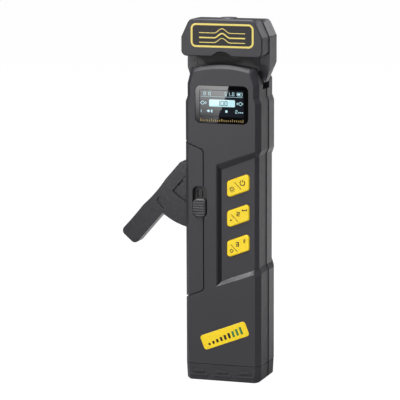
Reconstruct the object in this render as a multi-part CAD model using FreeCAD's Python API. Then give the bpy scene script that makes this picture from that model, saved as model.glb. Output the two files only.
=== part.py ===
import FreeCAD, Part
import os
from math import atan2, cos, hypot, pi, radians, sin, sqrt, tan

# Hand-held optical fibre identifier. Millimetres, +Z up, origin at the centre of the foot's flat face.
# X runs to the right seen from the front, and the front face looks along -Y.
# A depth runs back from the front face, a drop runs down from the crown of the arched lip.

# Case
height = 200.0
body_width = 43.2
body_depth = 28.0
front_wall = 2.8
side_wall = 2.4
waist_wall = 2.0
rear_wall = 2.0
inner_corner = 1.9
seam_depth = 16.4
seam_width = 0.12
seam_line_depth = 0.25
edge_in = 2.6
edge_back = 3.3
rear_round = 2.6
rear_over = 0.4
cap_height = 9.5

# Fits, and how far a cut runs past the face it leaves by
touch = 0.1
running = 0.3
slide_fit = 0.15
past = 1.0
far_past = 8.0
same_point = 1e-6
same_plane = 1e-3

# Upper shoulder and arched lip
fibre_gap = 4.45
lip_corner_in = 3.4
lip_corner_drop = 2.0
lip_edge_rise = 2.1
lip_edge_back = 1.5
taper_drop = 10.8
shoulder_drop = 17.7
shoulder_height = 3.0
shoulder_step = 1.1
rear_top_drop = 6.6

# Fibre slot behind the lip
slot_front_depth = 7.5
slot_back_depth = 12.5
slot_lip_wall = 1.7
slot_floor_drop = 13.6
slot_side_back = 0.4
slot_side_drop = 3.0
notch_front_depth = 9.7
notch_back_depth = 20.0
notch_rise = 4.0

# Head
head_height = 20.35
head_over = 1.45
head_rear_over = 0.5
head_back_depth = 25.3
head_top_fall = 1.1
head_corner_x = 4.7
head_corner_z = 10.0
head_low_round = 3.0
head_side_round = 1.5
head_top_round = 4.0
head_back_round = 3.0
head_edge = 0.6
head_wall = 1.8
head_sill = 3.2
head_rear_sill = 4.0
head_rear_side = 3.2
head_rear_wall = 2.5
head_screw_x = 15.0
head_screw_below_top = 9.0
head_screw_reach = 8.0
bell_half = 9.0
bell_rise = 2.9

# Hook that carries the head
hook_step_below = 4.3
hook_step_slope = 3.1
hook_step_round = 1.2
hook_neck_in = 4.6
hook_neck_back = 20.2
hook_neck_low_back = 18.3
hook_neck_rise = 2.0
hook_neck_round = 1.0
hook_low_round = 2.5
hook_flare_drop = 9.8
hook_flank_drop = 3.0
hook_flare_round = 6.0
hook_lip_over = 0.6
hook_lip_thick = 1.2
hook_foot_drop = 25.2
hook_foot_height = 5.0
liner_over = 0.8
liner_side_gap = 0.15
liner_thick = 1.6
liner_foot = 1.5
liner_top = 2.0

# Upper jaw and detectors
jaw_inset = 0.35
jaw_height = 7.0
jaw_opening = 4.0
jaw_floor = 2.0
detector_x = 11.0
detector_radius = 2.1
detector_rim_radius = 2.4
detector_rim = 0.8
detector_window_radius = 1.0
head_board_half = 12.0
head_board_gap = 0.5
head_chip = (6.0, 5.0, 0.9)
head_chip_depth = 4.0

# Lamp in the head's top
lens_diameter = 9.5
lens_seat_drop = 0.9
lens_proud = 0.9
lens_edge = 0.24
lens_flange = 0.6
lens_skirt = 6.5
lens_roof = 1.0
lens_depth = 13.0
lamp_radius = 2.5
lamp_room = 0.2
lamp_rim_over = 0.4
lamp_rim = 0.8
lamp_low = 8.0
lamp_top_gap = 0.3
lamp_edge = 1.4

# Slanted key recess
slant = radians(21.2)
recess_depth = 1.25
recess_left = 9.35
recess_left_flare = 3.0
recess_end_flare = 3.0
recess_below = 16.6
recess_above = 11.9
band_lead = 4.0
band_run = 12.0
pocket_reach = 2
waist_sink = 3

# Keys
key_names = ("key_bottom", "key_middle", "key_top")
key_in = 12.6
key_low_z = 76.3
key_pitch = 16.6
key_width = 12.4
key_height = 8.7
key_round = 1.4
key_edge = 0.3
key_proud = 0.6
key_gap = 0.35
key_flange = 0.9
key_flange_thick = 0.7
key_travel = 0.7

# Key mat and main board, with the board's parts as x, z, width, height and thickness
mat_half = 8.5
mat_end = 10.0
mat_thick = 1.0
mat_pad = 0.4
mat_pad_in = 1.2
board_thick = 1.2
board_left_x = -6.5
board_right_gap = 0.6
board_low_z = 50.0
board_window_gap = 8.0
board_parts = ((12.0, 126.0, 7.0, 7.0, 1.0), (11.0, 98.0, 9.0, 5.0, 1.3), (0.0, 90.0, 4.0, 6.0, 0.9))

# Left side panel round the trigger
panel_seam_in = 11.4
panel_below = 11.0
panel_above = 12.2
panel_round = 2.2
groove_width = 0.7
groove_depth = 0.9

# Trigger, drawn closed and turned open about its pin; scallops as height above the tip, length and depth
pivot_in = 7.6
pivot_z = 120.0
trigger_swing = 41.2
trigger_thick = 8.0
trigger_front_depth = 9.0
trigger_outer = 9.7
trigger_width = 11.2
trigger_length = 62.0
trigger_top = 7.0
trigger_top_round = 2.0
trigger_tip_round = 2.8
trigger_slot_below = 1.5
trigger_slot_above = 3.5
scallops = ((4.0, 15.0, 0.15), (21.0, 19.0, 0.6))
web_radius = 37.3
web_angle = 36.0
web_overlap = 3.0
web_step_radius = 24.0
web_step_edge = 7.1
web_step = 0.6
web_mark_radius = 35.0
web_mark_edge = 3.8
web_mark_leg = 3.1
web_mark_run = 6.1
web_mark_width = 0.6
web_mark = 0.35
hub_radius = 6.0
pin_diameter = 3.0
pin_fit = 0.05
pin_edge = 0.3
pin_boss_wall = 2.0
spring_wire = 0.9
spring_turns = 2
spring_leg = 12.0
spring_leg_share = 0.9
spring_dip_share = 0.35
spring_gap = 1.2

# Gear sector and rack, tooth heights in modules
gear_radius = 12.0
gear_module = 1.2
gear_pressure = radians(20.0)
gear_backlash = 0.3
gear_addendum = 0.9
gear_dedendum = 1.25
gear_root = 1.3
gear_teeth = 6
flank_middle = 0.55
tooth_sink = 0.06
tooth_spread = 0.03
sector_left = 3.0
sector_low = 14.0
sector_high = 8.0
rack_teeth = 7
bar_thick = 3.7
bar_width = 5.0
bar_below = 19.0
tongue_half = 1.8
tongue_in = 0.9
tongue_height = 4.0
tongue_fit = 0.05
guide_wall = 3.0
guide_front = 1.4
guide_gap = 3.0

# Anvil
anvil_top_drop = 5.3
anvil_height = 11.9
bump_in = 0.6
bump_down = 0.2

# Lock slider
lock_slot_in = 4.75
lock_slot_width = 8.4
lock_slot_low = 91.2
lock_slot_length = 17.3
lock_slot_round = 3.0
lock_knob_height = 9.9
lock_knob_right = 0.9
lock_knob_round = 1.8
lock_knob_edge = 0.5
lock_proud = 0.8
lock_corner_fit = 0.2
lock_plate_thick = 1.5
lock_plate_margin = 0.8
lock_ribs = 6
lock_rib_pitch = 1.4
lock_rib_half = 0.45
lock_rib_depth = 0.45
lock_marks = (2.4, 5.0)
lock_mark_width = 0.8
lock_mark_depth = 0.6
lock_mark_rise = (0.6, 4.2)

# Display
window_half = 15.2
window_drop = 11.1
window_height = 20.9
window_round = 3.0
window_thick = 1.2
window_ledge = 1.6
window_edge = 0.2
display_thick = 1.5
display_over = 0.8
display_room = 1.0
display_room_drop = 7.8
display_tail_half = 6.0
display_tail_thick = 0.4
display_tail_length = 6.0

# Cell, laser and charging socket
cell_diameter = 18.2
cell_length = 65.0
cell_x = 3.6
cell_low_z = 16.5
cell_edge = 0.7
cell_button_radius = 3.0
cell_button = 1.0
laser_diameter = 7.0
laser_length = 30.0
laser_x = -9.4
laser_neck = 0.6
laser_collar = (4.0, 14.0)
laser_bore = 3.0
port_diameter = 5.0
port_bore = 2.5
port_back = 0.5
socket_x = 3.6
socket_y = -3.5
socket_half_x = 4.5
socket_half_y = 1.6
socket_round = 1.5
socket_wall = 0.4
socket_reach = (-1.5, 5.5)
socket_floor = 1.0
socket_tongue_width = 6.6
socket_tongue_thick = 0.7
socket_tongue_back = 0.6
tail_thick = 3.5
tail_rim = 5.5
tail_rim_in = 0.4
tail_rim_wall = 1.6

# End cap, with its grip bars as height and width
cap_taper = 0.4
cap_seam = 0.25
cap_floor = 2.4
cap_fit = 0.25
cap_foot_round = 0.8
cap_corner_round = 3.0
cap_bar_x = 13.2
cap_bars = ((5.6, 6.0), (3.3, 10.0))
cap_bar_height = 0.9
cap_bar_proud = 0.4
cap_bar_root = 1.2

# Screws
screw_in = 5.4
screw_low_z = 18.0
screw_window_gap = 3.5
screw_diameter = 3.0
screw_head = 5.0
screw_head_thick = 2.0
screw_bore_depth = 5.0
screw_blind = 1.0
screw_reach = 9.0
cross_long = 2.6
cross_wide = 0.6
cross_deep = 1.1
boss_radius = 2.6
rear_boss_radius = 3.4

# Values worked out from the sizes above
half_width = body_width / 2
front_y = -body_depth / 2
back_y = body_depth / 2
seam_y = front_y + seam_depth
inner_front_y = front_y + front_wall
inner_back_y = back_y - rear_wall
floor_y = front_y + recess_depth
slot_front_y = front_y + slot_front_depth
slot_back_y = front_y + slot_back_depth
head_back_y = front_y + head_back_depth
neck_back_y = front_y + hook_neck_back
head_half = half_width + head_over
frame_half = head_half + head_rear_over
head_bottom_z = height - head_height
lip_crown_z = head_bottom_z - fibre_gap
lip_corner_x = half_width - lip_corner_in
lip_corner_z = lip_crown_z - lip_corner_drop
taper_start = lip_crown_z - taper_drop
shoulder_high = lip_crown_z - shoulder_drop
shoulder_low = shoulder_high - shoulder_height
rear_top_z = lip_crown_z - rear_top_drop
slot_floor_z = lip_crown_z - slot_floor_drop
hook_step_z = head_bottom_z - hook_step_below
hook_flare_z = lip_crown_z - hook_flare_drop
hook_flank_z = lip_crown_z - hook_flank_drop
hook_foot_z = lip_crown_z - hook_foot_drop
hook_neck_half = half_width - hook_neck_in
slot_half = hook_neck_half + running
head_screw_z = height - head_screw_below_top
anvil_top_z = lip_crown_z - anvil_top_drop
anvil_base_z = anvil_top_z - anvil_height
window_high = lip_crown_z - window_drop
window_low = window_high - window_height
screw_x = half_width - screw_in
screw_high_z = window_low - screw_window_gap
upper_half = half_width - shoulder_step
waist_x = half_width - recess_depth
rear_half = half_width + rear_over
rear_waist_x = waist_x + rear_over
inner_left_x = -half_width + side_wall
inner_right_x = waist_x - waist_wall
lens_y = front_y + lens_depth
lens_seat_z = height - lens_seat_drop
key_x = half_width - key_in
recess_left_x = key_x - recess_left
recess_mid_low_z = key_low_z - recess_below
recess_mid_high_z = key_low_z + (len(key_names) - 1) * key_pitch + recess_above
slant_rise = tan(slant)
mat_front_y = inner_front_y + touch + key_flange_thick + key_travel + touch
pivot_x = -half_width + pivot_in
trigger_front_y = front_y + trigger_front_depth
trigger_back_y = trigger_front_y + trigger_thick
panel_seam_x = -half_width + panel_seam_in
panel_low_z = pivot_z - trigger_length - panel_below
panel_high_z = pivot_z + panel_above
bar_back_y = slot_back_y - running
bar_front_y = bar_back_y - bar_thick
bar_low_z = pivot_z - bar_below
detector_y = (bar_front_y + bar_back_y) / 2
gear_y = (bar_front_y + running, bar_back_y - running)
gear_spacing = gear_module * pi
pitch_line_x = pivot_x + gear_radius
rack_root_x = pitch_line_x + gear_module * gear_dedendum
tongue_x = rack_root_x + bar_width / 2
lift_travel = gear_radius * radians(trigger_swing)
lock_slot_x = (-half_width + lock_slot_in, -half_width + lock_slot_in + lock_slot_width)
lock_slot_high = lock_slot_low + lock_slot_length
lock_travel = lock_slot_length - lock_knob_height - 2 * running
tail_z = (cap_height, cap_height + tail_thick)


def point(x, y, z):
    """One point of the part's frame."""
    return FreeCAD.Vector(x, y, z)


def line(start, end):
    """Straight edge between two points."""
    return Part.LineSegment(start, end).toShape()


def arc(start, middle, end):
    """Circular edge through three points."""
    return Part.Arc(start, middle, end).toShape()


def span(centre, width):
    """Pair of limits about a centre."""
    return centre - width / 2, centre + width / 2


def block(x_range, y_range, z_range):
    """Box between three pairs of limits."""
    size = [pair[1] - pair[0] for pair in (x_range, y_range, z_range)]
    return Part.makeBox(size[0], size[1], size[2], point(x_range[0], y_range[0], z_range[0]))


def rod(centre, radius, length, axis):
    """Cylinder from a centre along an axis."""
    return Part.makeCylinder(radius, length, centre, axis)


def rod_y(x, z, radius, y_low, y_high):
    """Cylinder along Y."""
    return rod(point(x, y_low, z), radius, y_high - y_low, point(0, 1, 0))


def rod_z(x, y, radius, z_low, z_high):
    """Cylinder along Z."""
    return rod(point(x, y, z_low), radius, z_high - z_low, point(0, 0, 1))


def corner_arc(before, corner, after, radius):
    """Tangent arc that rounds one corner: its start, middle and end."""
    into = (before - corner).normalize()
    out = (after - corner).normalize()
    half_turn = into.getAngle(out) / 2
    reach = radius / tan(half_turn)
    start = corner + into * reach
    end = corner + out * reach
    centre_way = (into + out).normalize()
    centre = corner + centre_way * (radius / sin(half_turn))
    middle = centre - centre_way * radius
    return start, middle, end


def rounded_wire(corners, radii):
    """Closed wire through corners, each rounded by its own radius (0 keeps it sharp)."""
    edges = []
    count = len(corners)
    spans = []
    for index, corner in enumerate(corners):
        if radii[index] > 0:
            spans.append(corner_arc(corners[index - 1], corner, corners[(index + 1) % count], radii[index]))
        else:
            spans.append((corner, None, corner))
    for index, span in enumerate(spans):
        if span[1] is not None:
            edges.append(arc(span[0], span[1], span[2]))
        following = spans[(index + 1) % count]
        if (following[0] - span[2]).Length > same_point:
            edges.append(line(span[2], following[0]))
    return Part.Wire(edges)


def plate_y(outline, radii, y_low, y_high):
    """Plate with an outline of (x, z) corners, pushed along Y."""
    corners = [point(x, y_low, z) for x, z in outline]
    face = Part.Face(rounded_wire(corners, radii))
    return face.extrude(point(0, y_high - y_low, 0))


def plate_x(outline, radii, x_low, x_high):
    """Plate with an outline of (y, z) corners, pushed along X."""
    corners = [point(x_low, y, z) for y, z in outline]
    face = Part.Face(rounded_wire(corners, radii))
    return face.extrude(point(x_high - x_low, 0, 0))


def plate_z(outline, z_low, z_high):
    """Plate with an outline of (x, y) corners, pushed along Z."""
    corners = [point(x, y, z_low) for x, y in outline]
    face = Part.Face(rounded_wire(corners, [0] * len(corners)))
    return face.extrude(point(0, 0, z_high - z_low))


def rectangle(x_range, z_range):
    """Four corners of an upright rectangle, counted round."""
    return [(x_range[0], z_range[0]), (x_range[1], z_range[0]),
            (x_range[1], z_range[1]), (x_range[0], z_range[1])]


def front_edges(shape, y):
    """Edges that lie wholly in the plane at y."""
    return [edge for edge in shape.Edges
            if max(abs(vertex.Y - y) for vertex in edge.Vertexes) < same_plane
            and abs(edge.BoundBox.YLength) < same_plane]


def round_edges(shape):
    """Edges that close on themselves: the rims of a cylinder."""
    return [edge for edge in shape.Edges if edge.Closed]


def upright_edges(shape):
    """Edges as tall as the whole shape."""
    return [edge for edge in shape.Edges if edge.BoundBox.ZLength > shape.BoundBox.ZLength - same_plane]


def case_outline(inset, drop, y):
    """Front outline of the case at depth y: straight sides, shoulder, taper and arched lip."""
    half = half_width - inset
    upper = upper_half - inset
    right = [point(half, y, cap_height), point(half, y, shoulder_low), point(upper, y, shoulder_high),
             point(upper, y, taper_start), point(lip_corner_x - inset, y, lip_corner_z - drop)]
    left = [point(-p.x, y, p.z) for p in reversed(right)]
    edges = [line(a, b) for a, b in zip(right, right[1:])]
    edges.append(arc(right[-1], point(0, y, lip_crown_z - drop), left[0]))
    edges += [line(a, b) for a, b in zip(left, left[1:])]
    edges.append(line(left[-1], right[0]))
    return Part.Wire(edges)


def front_mass():
    """Outside of the front half: sloped edge band, steeper along the lip, then straight to the seam."""
    face_wire = case_outline(edge_in, lip_edge_rise, front_y)
    full_wire = case_outline(0, 0, front_y + edge_back)
    band = Part.makeLoft([face_wire, full_wire], True, True)
    straight = Part.Face(full_wire).extrude(point(0, seam_depth - edge_back, 0))
    lip_wire = case_outline(edge_in, 0, front_y + lip_edge_back)
    lip = Part.makeLoft([face_wire, lip_wire], True, True)
    lip_rear = Part.Face(lip_wire).extrude(point(0, edge_back - lip_edge_back, 0))
    return band.fuse(straight).fuse(lip).fuse(lip_rear).removeSplitter()


def rear_mass():
    """Outside of the rear half, a little wider than the front half and rounded along its back edges."""
    upper = upper_half + rear_over
    outline = [(-rear_half, cap_height), (rear_half, cap_height), (rear_half, shoulder_low),
               (upper, shoulder_high), (upper, rear_top_z), (-upper, rear_top_z),
               (-upper, shoulder_high), (-rear_half, shoulder_low)]
    radii = [0, 0, 0, 0, rear_round, rear_round, 0, 0]
    mass = plate_y(outline, radii, seam_y, back_y)
    rims = [edge for edge in front_edges(mass, back_y) if edge.BoundBox.ZMax > cap_height + same_plane]
    return mass.makeFillet(rear_round, rims)


def recess_line(mid_z, x):
    """Height of a slanted recess edge at x."""
    return mid_z + slant_rise * (x - key_x)


def flared_pocket(floor, outward, flares, reach):
    """Pocket with sloped walls, some recess depths deep: floor corners, way out, flare of each corner."""
    rise = outward * (recess_depth * reach)
    mouth = [corner + rise + flare * reach for corner, flare in zip(floor, flares)]
    wires = [Part.makePolygon(ring + [ring[0]]) for ring in (floor, mouth)]
    return Part.makeLoft(wires, True, True)


def recess_pockets():
    """Key recess: one sloped pocket each for the front face, its right edge band and the right side."""
    far = half_width + far_past
    up = point(0, 0, recess_end_flare)
    left = point(-recess_left_flare, 0, 0)
    still = point(0, 0, 0)
    front_floor = [point(recess_left_x, floor_y, recess_line(recess_mid_low_z, recess_left_x)),
                   point(far, floor_y, recess_line(recess_mid_low_z, far)),
                   point(far, floor_y, recess_line(recess_mid_high_z, far)),
                   point(recess_left_x, floor_y, recess_line(recess_mid_high_z, recess_left_x))]
    pockets = [flared_pocket(front_floor, point(0, -1, 0), [left - up, still - up, up, left + up],
                             pocket_reach)]
    band_length = hypot(edge_in, edge_back)
    outward = point(edge_back / band_length, -edge_in / band_length, 0)
    along = point(edge_in / band_length, edge_back / band_length, 0)
    band_start = point(half_width - edge_in, front_y, 0) - outward * recess_depth
    ends = [band_start - along * band_lead, band_start + along * band_run]
    band_floor = []
    for end, mid_z in ((ends[0], recess_mid_low_z), (ends[1], recess_mid_low_z),
                       (ends[1], recess_mid_high_z), (ends[0], recess_mid_high_z)):
        band_floor.append(point(end.x, end.y, recess_line(mid_z, min(end.x, waist_x))))
    pockets.append(flared_pocket(band_floor, outward, [still - up, still - up, up, up], pocket_reach))
    pockets.append(side_pocket(waist_x, 0))
    return pockets


def side_pocket(level_x, sink):
    """Pocket on the right side, sunk some recess depths below level_x; its ends keep their slope."""
    floor_x = level_x - sink * recess_depth
    low = recess_line(recess_mid_low_z, waist_x) + sink * recess_end_flare
    high = recess_line(recess_mid_high_z, waist_x) - sink * recess_end_flare
    floor = [point(floor_x, front_y - past, low), point(floor_x, back_y + past, low),
             point(floor_x, back_y + past, high), point(floor_x, front_y - past, high)]
    up = point(0, 0, recess_end_flare)
    return flared_pocket(floor, point(1, 0, 0), [-up, -up, up, up], sink + pocket_reach)


def rear_waist():
    """The right side's pocket carried on over the rear half, whose back edge stays round there."""
    core = block((-half_width, rear_waist_x), (seam_y - past, back_y), (0, height))
    corner = [edge for edge in upright_edges(core)
              if edge.BoundBox.XMin > rear_waist_x - past and edge.BoundBox.YMin > back_y - past]
    return side_pocket(rear_waist_x, waist_sink).cut(core.makeFillet(rear_round, corner))


def panel_outline(shrink):
    """Corners of the side panel seen from the front, with slanted top and bottom edges."""
    outer_x = -half_width - far_past
    right_x = panel_seam_x - shrink
    face_x = -half_width + edge_in
    rise = shrink / cos(slant)
    low = [panel_low_z + slant_rise * (x - face_x) + rise for x in (outer_x, right_x)]
    high = [panel_high_z - slant_rise * (x - face_x) - rise for x in (outer_x, right_x)]
    return [(outer_x, low[0]), (right_x, low[1]), (right_x, high[1]), (outer_x, high[0])]


def panel_prism(shrink):
    """Space of the side panel through the whole depth."""
    return plate_y(panel_outline(shrink), [0, panel_round, panel_round, 0], front_y - past, back_y + past)


def inner_outline(grow):
    """Section of the hollow of the case, grown outwards by a distance."""
    left = inner_left_x - grow
    right = inner_right_x + grow
    front = inner_front_y - grow
    back = inner_back_y + grow
    bevel = inner_corner * edge_in / edge_back
    return [(left, back), (left, front + inner_corner), (left + bevel, front),
            (right - bevel, front), (right, front + inner_corner), (right, back)]


def case_hollow():
    """Hollow of the case below the shoulder."""
    return plate_z(inner_outline(0), cap_height - past, shoulder_low)


def lock_slot():
    """Opening of the lock slider."""
    outline = rectangle(lock_slot_x, (lock_slot_low, lock_slot_high))
    return plate_y(outline, [lock_slot_round] * 4, front_y - past, inner_front_y + past)


def trigger_slot():
    """Opening in the left side that the trigger swings through."""
    y_range = (trigger_front_y - 2 * running, trigger_back_y + 2 * running)
    z_range = (pivot_z - trigger_length - trigger_slot_below, pivot_z + trigger_slot_above)
    return block((-half_width - far_past, inner_left_x + past), y_range, z_range)


def key_outline(grow, z):
    """Slanted key seen from the front."""
    half = key_width / 2 + grow
    tall = key_height / 2 + grow
    lean = half * slant_rise
    return [(key_x - half, z - tall - lean), (key_x + half, z - tall + lean),
            (key_x + half, z + tall + lean), (key_x - half, z + tall - lean)]


def key_height_z(index):
    """Height of a key's centre, counted from the lowest."""
    return key_low_z + index * key_pitch


def screw_places():
    """Places of the case screws."""
    return [(side * screw_x, z) for side in (-1, 1) for z in (screw_low_z, screw_high_z)]


def blind_boss(x, z, y_low, y_high):
    """Screw boss standing on a wall at y_low, and the blind hole in it."""
    boss = rod_y(x, z, boss_radius, y_low - touch, y_high)
    hole = rod_y(x, z, screw_diameter / 2, y_low + screw_blind, y_high)
    return boss, hole


def counterbore(x, z, y_start, back):
    """Screw hole from y_start with room for the head in the face at back."""
    hole = rod_y(x, z, screw_diameter / 2 + touch, y_start - past, back + past)
    return hole.fuse(rod_y(x, z, screw_head / 2 + touch, back - screw_bore_depth, back + past))


def seam_line():
    """Thin ring cut along the joint between the two halves of the case."""
    groove_y = seam_y - seam_width
    outside = Part.Face(case_outline(-past, -past, groove_y))
    kept = Part.Face(case_outline(recess_depth + seam_line_depth, 0, groove_y))
    return outside.cut(kept).extrude(point(0, seam_width + past, 0))


def make_front_shell():
    """Front half of the case with key recess, window seat, slot lip and screw bosses."""
    shell = front_mass().cut(seam_line())
    for pocket in recess_pockets():
        shell = shell.cut(pocket)
    shell = shell.cut(case_hollow())
    room_half = window_half + display_room
    shell = shell.cut(block((-room_half, room_half), (inner_front_y, slot_front_y - slot_lip_wall),
                            (shoulder_low - past, lip_crown_z - display_room_drop)))
    shell = shell.cut(block((-slot_half, slot_half), (slot_front_y, seam_y + past),
                            (shoulder_low - past, height)))
    notch_y = front_y + notch_front_depth
    side_y = slot_front_y - slot_side_back
    side_cut = [(side_y, height), (side_y, lip_crown_z - slot_side_drop),
                (notch_y, slot_floor_z + notch_rise), (notch_y, slot_floor_z),
                (back_y, slot_floor_z), (back_y, height)]
    shell = shell.cut(plate_x(side_cut, [0] * 6, -half_width - past, half_width + past))
    seat = rectangle((-window_half, window_half), (window_low, window_high))
    shell = shell.cut(plate_y(seat, [window_round] * 4, front_y - past, front_y + window_thick + touch))
    sight_half = window_half - window_ledge
    sight = rectangle((-sight_half, sight_half), (window_low + window_ledge, window_high - window_ledge))
    shell = shell.cut(plate_y(sight, [window_round - window_ledge] * 4, front_y, inner_front_y + past))
    for index in range(len(key_names)):
        opening = key_outline(key_gap, key_height_z(index))
        shell = shell.cut(plate_y(opening, [key_round + key_gap] * 4, front_y - past, inner_front_y + past))
    shell = shell.cut(panel_prism(0)).cut(lock_slot())
    for x, z in screw_places():
        boss, hole = blind_boss(x, z, inner_front_y, seam_y)
        shell = shell.fuse(boss).cut(hole)
    return shell.removeSplitter()


def make_rear_shell():
    """Rear half of the case with its top, screw bosses and counterbores."""
    shell = rear_mass().cut(rear_waist()).cut(case_hollow())
    neck_room = neck_back_y + running
    inner_top = rear_top_z - rear_wall
    whole_x = (-rear_half - past, rear_half + past)
    slot_x = (-slot_half, slot_half)
    front = seam_y - past
    shell = shell.cut(block(slot_x, (front, inner_back_y), (shoulder_low - past, inner_top)))
    shell = shell.cut(block(slot_x, (front, neck_room), (inner_top - past, height)))
    shell = shell.cut(block(whole_x, (front, front_y + notch_back_depth), (slot_floor_z, height)))
    shell = shell.cut(block(whole_x, (front, neck_room), (hook_flare_z - running, height)))
    shell = shell.cut(panel_prism(0))
    for x, z in screw_places():
        shell = shell.fuse(rod_y(x, z, rear_boss_radius, seam_y, inner_back_y + touch))
        shell = shell.cut(counterbore(x, z, seam_y, back_y))
    return shell.removeSplitter()


def make_side_panel():
    """Left cover: wraps front, side and rear, has the trigger slot, pin bosses and a stepped outline."""
    whole = front_mass().fuse(rear_mass())
    core = plate_z(inner_outline(min(front_wall, side_wall) - groove_depth), cap_height, shoulder_low)
    face = whole.common(panel_prism(groove_width))
    step = whole.common(core).common(panel_prism(touch / 2))
    panel = face.fuse(step).cut(case_hollow()).cut(trigger_slot()).cut(lock_slot())
    boss = pin_diameter / 2 + pin_boss_wall
    panel = panel.fuse(rod_y(pivot_x, pivot_z, boss, inner_front_y - touch, trigger_front_y - running))
    panel = panel.fuse(rod_y(pivot_x, pivot_z, boss, trigger_back_y + running, inner_back_y + touch))
    bore = pin_diameter / 2 + pin_fit
    panel = panel.cut(rod_y(pivot_x, pivot_z, bore, inner_front_y, inner_back_y))
    return panel.removeSplitter()


def bell_edges(y, z, x_half, half, rise):
    """Edge from -x_half to x_half with a bell of four tangent arcs in its middle."""
    radius = (half * half + rise * rise) / (4 * rise)
    turn = atan2(half / 2, radius - rise / 2) / 2
    bow_x = radius * sin(turn)
    bow_z = radius * (1 - cos(turn))
    foot = [point(side * half, y, z) for side in (-1, 1)]
    flank = [point(side * (half - bow_x), y, z + bow_z) for side in (-1, 1)]
    middle = [point(side * half / 2, y, z + rise / 2) for side in (-1, 1)]
    shoulder = [point(side * bow_x, y, z + rise - bow_z) for side in (-1, 1)]
    peak = point(0, y, z + rise)
    edges = [arc(foot[0], flank[0], middle[0]), arc(middle[0], shoulder[0], peak),
             arc(peak, shoulder[1], middle[1]), arc(middle[1], flank[1], foot[1])]
    if x_half > half:
        edges = [line(point(-x_half, y, z), foot[0])] + edges + [line(foot[1], point(x_half, y, z))]
    return edges


def bell_plate(x_half, z_edge, z_far, half, rise, y_range):
    """Plate between an edge with a bell in it and a straight edge at z_far."""
    y = y_range[0]
    corners = [point(x_half, y, z_edge), point(x_half, y, z_far),
               point(-x_half, y, z_far), point(-x_half, y, z_edge)]
    edges = bell_edges(y, z_edge, x_half, half, rise)
    edges += [line(a, b) for a, b in zip(corners, corners[1:])]
    return Part.Face(Part.Wire(edges)).extrude(point(0, y_range[1] - y, 0))


def head_outline(shrink, low_z):
    """Head seen from the front, shrunk by a wall: cut top corners and a straight lower edge."""
    half = head_half - shrink
    slope = hypot(head_corner_x, head_corner_z)
    side_z = height - head_corner_z - shrink * (slope - head_corner_z) / head_corner_x
    top_x = head_half - head_corner_x - shrink * (slope - head_corner_x) / head_corner_z
    top_z = height - shrink
    return [(-half, low_z), (half, low_z), (half, side_z), (top_x, top_z), (-top_x, top_z), (-half, side_z)]


def roof_z(y):
    """Height of the head's top, which falls towards the rear."""
    return height - head_top_fall * (y - front_y) / head_back_depth


def lens_bore(grow):
    """Space of the lamp lens in the head's top, with a level seat for its flange."""
    radius = lens_diameter / 2 - lens_flange + grow
    bore = rod_z(0, lens_y, radius, lens_seat_z - lens_skirt - grow, height + past)
    return bore.fuse(rod_z(0, lens_y, lens_diameter / 2 + grow, lens_seat_z, height + past))


def make_head_cover():
    """Front half of the head: hollow, open to the rear and below, with a bell notch in its front wall."""
    radii = [head_low_round, head_low_round, head_side_round, head_top_round, head_top_round, head_side_round]
    cover = plate_y(head_outline(0, head_bottom_z), radii, front_y, slot_back_y)
    above = [(front_y, height), (slot_back_y, roof_z(slot_back_y)), (slot_back_y, height + past),
             (front_y, height + past)]
    cover = cover.cut(plate_x(above, [0] * 4, -head_half, head_half))
    cover = cover.makeChamfer(head_edge, front_edges(cover, front_y))
    inner_y = front_y + head_wall
    hollow = head_outline(head_wall, head_bottom_z + head_sill)
    cover = cover.cut(plate_y(hollow, [0] * 6, inner_y, slot_back_y + past))
    cover = cover.cut(block((-slot_half, slot_half), (inner_y, slot_back_y + past),
                            (head_bottom_z - past, head_bottom_z + jaw_opening)))
    notch = bell_plate(bell_half, head_bottom_z, head_bottom_z - far_past, bell_half, bell_rise,
                       (front_y - past, slot_back_y))
    cover = cover.cut(notch).cut(lens_bore(touch))
    for side in (-1, 1):
        boss, hole = blind_boss(side * head_screw_x, head_screw_z, inner_y, slot_back_y)
        cover = cover.fuse(boss).cut(hole)
    return cover.removeSplitter()


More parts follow.
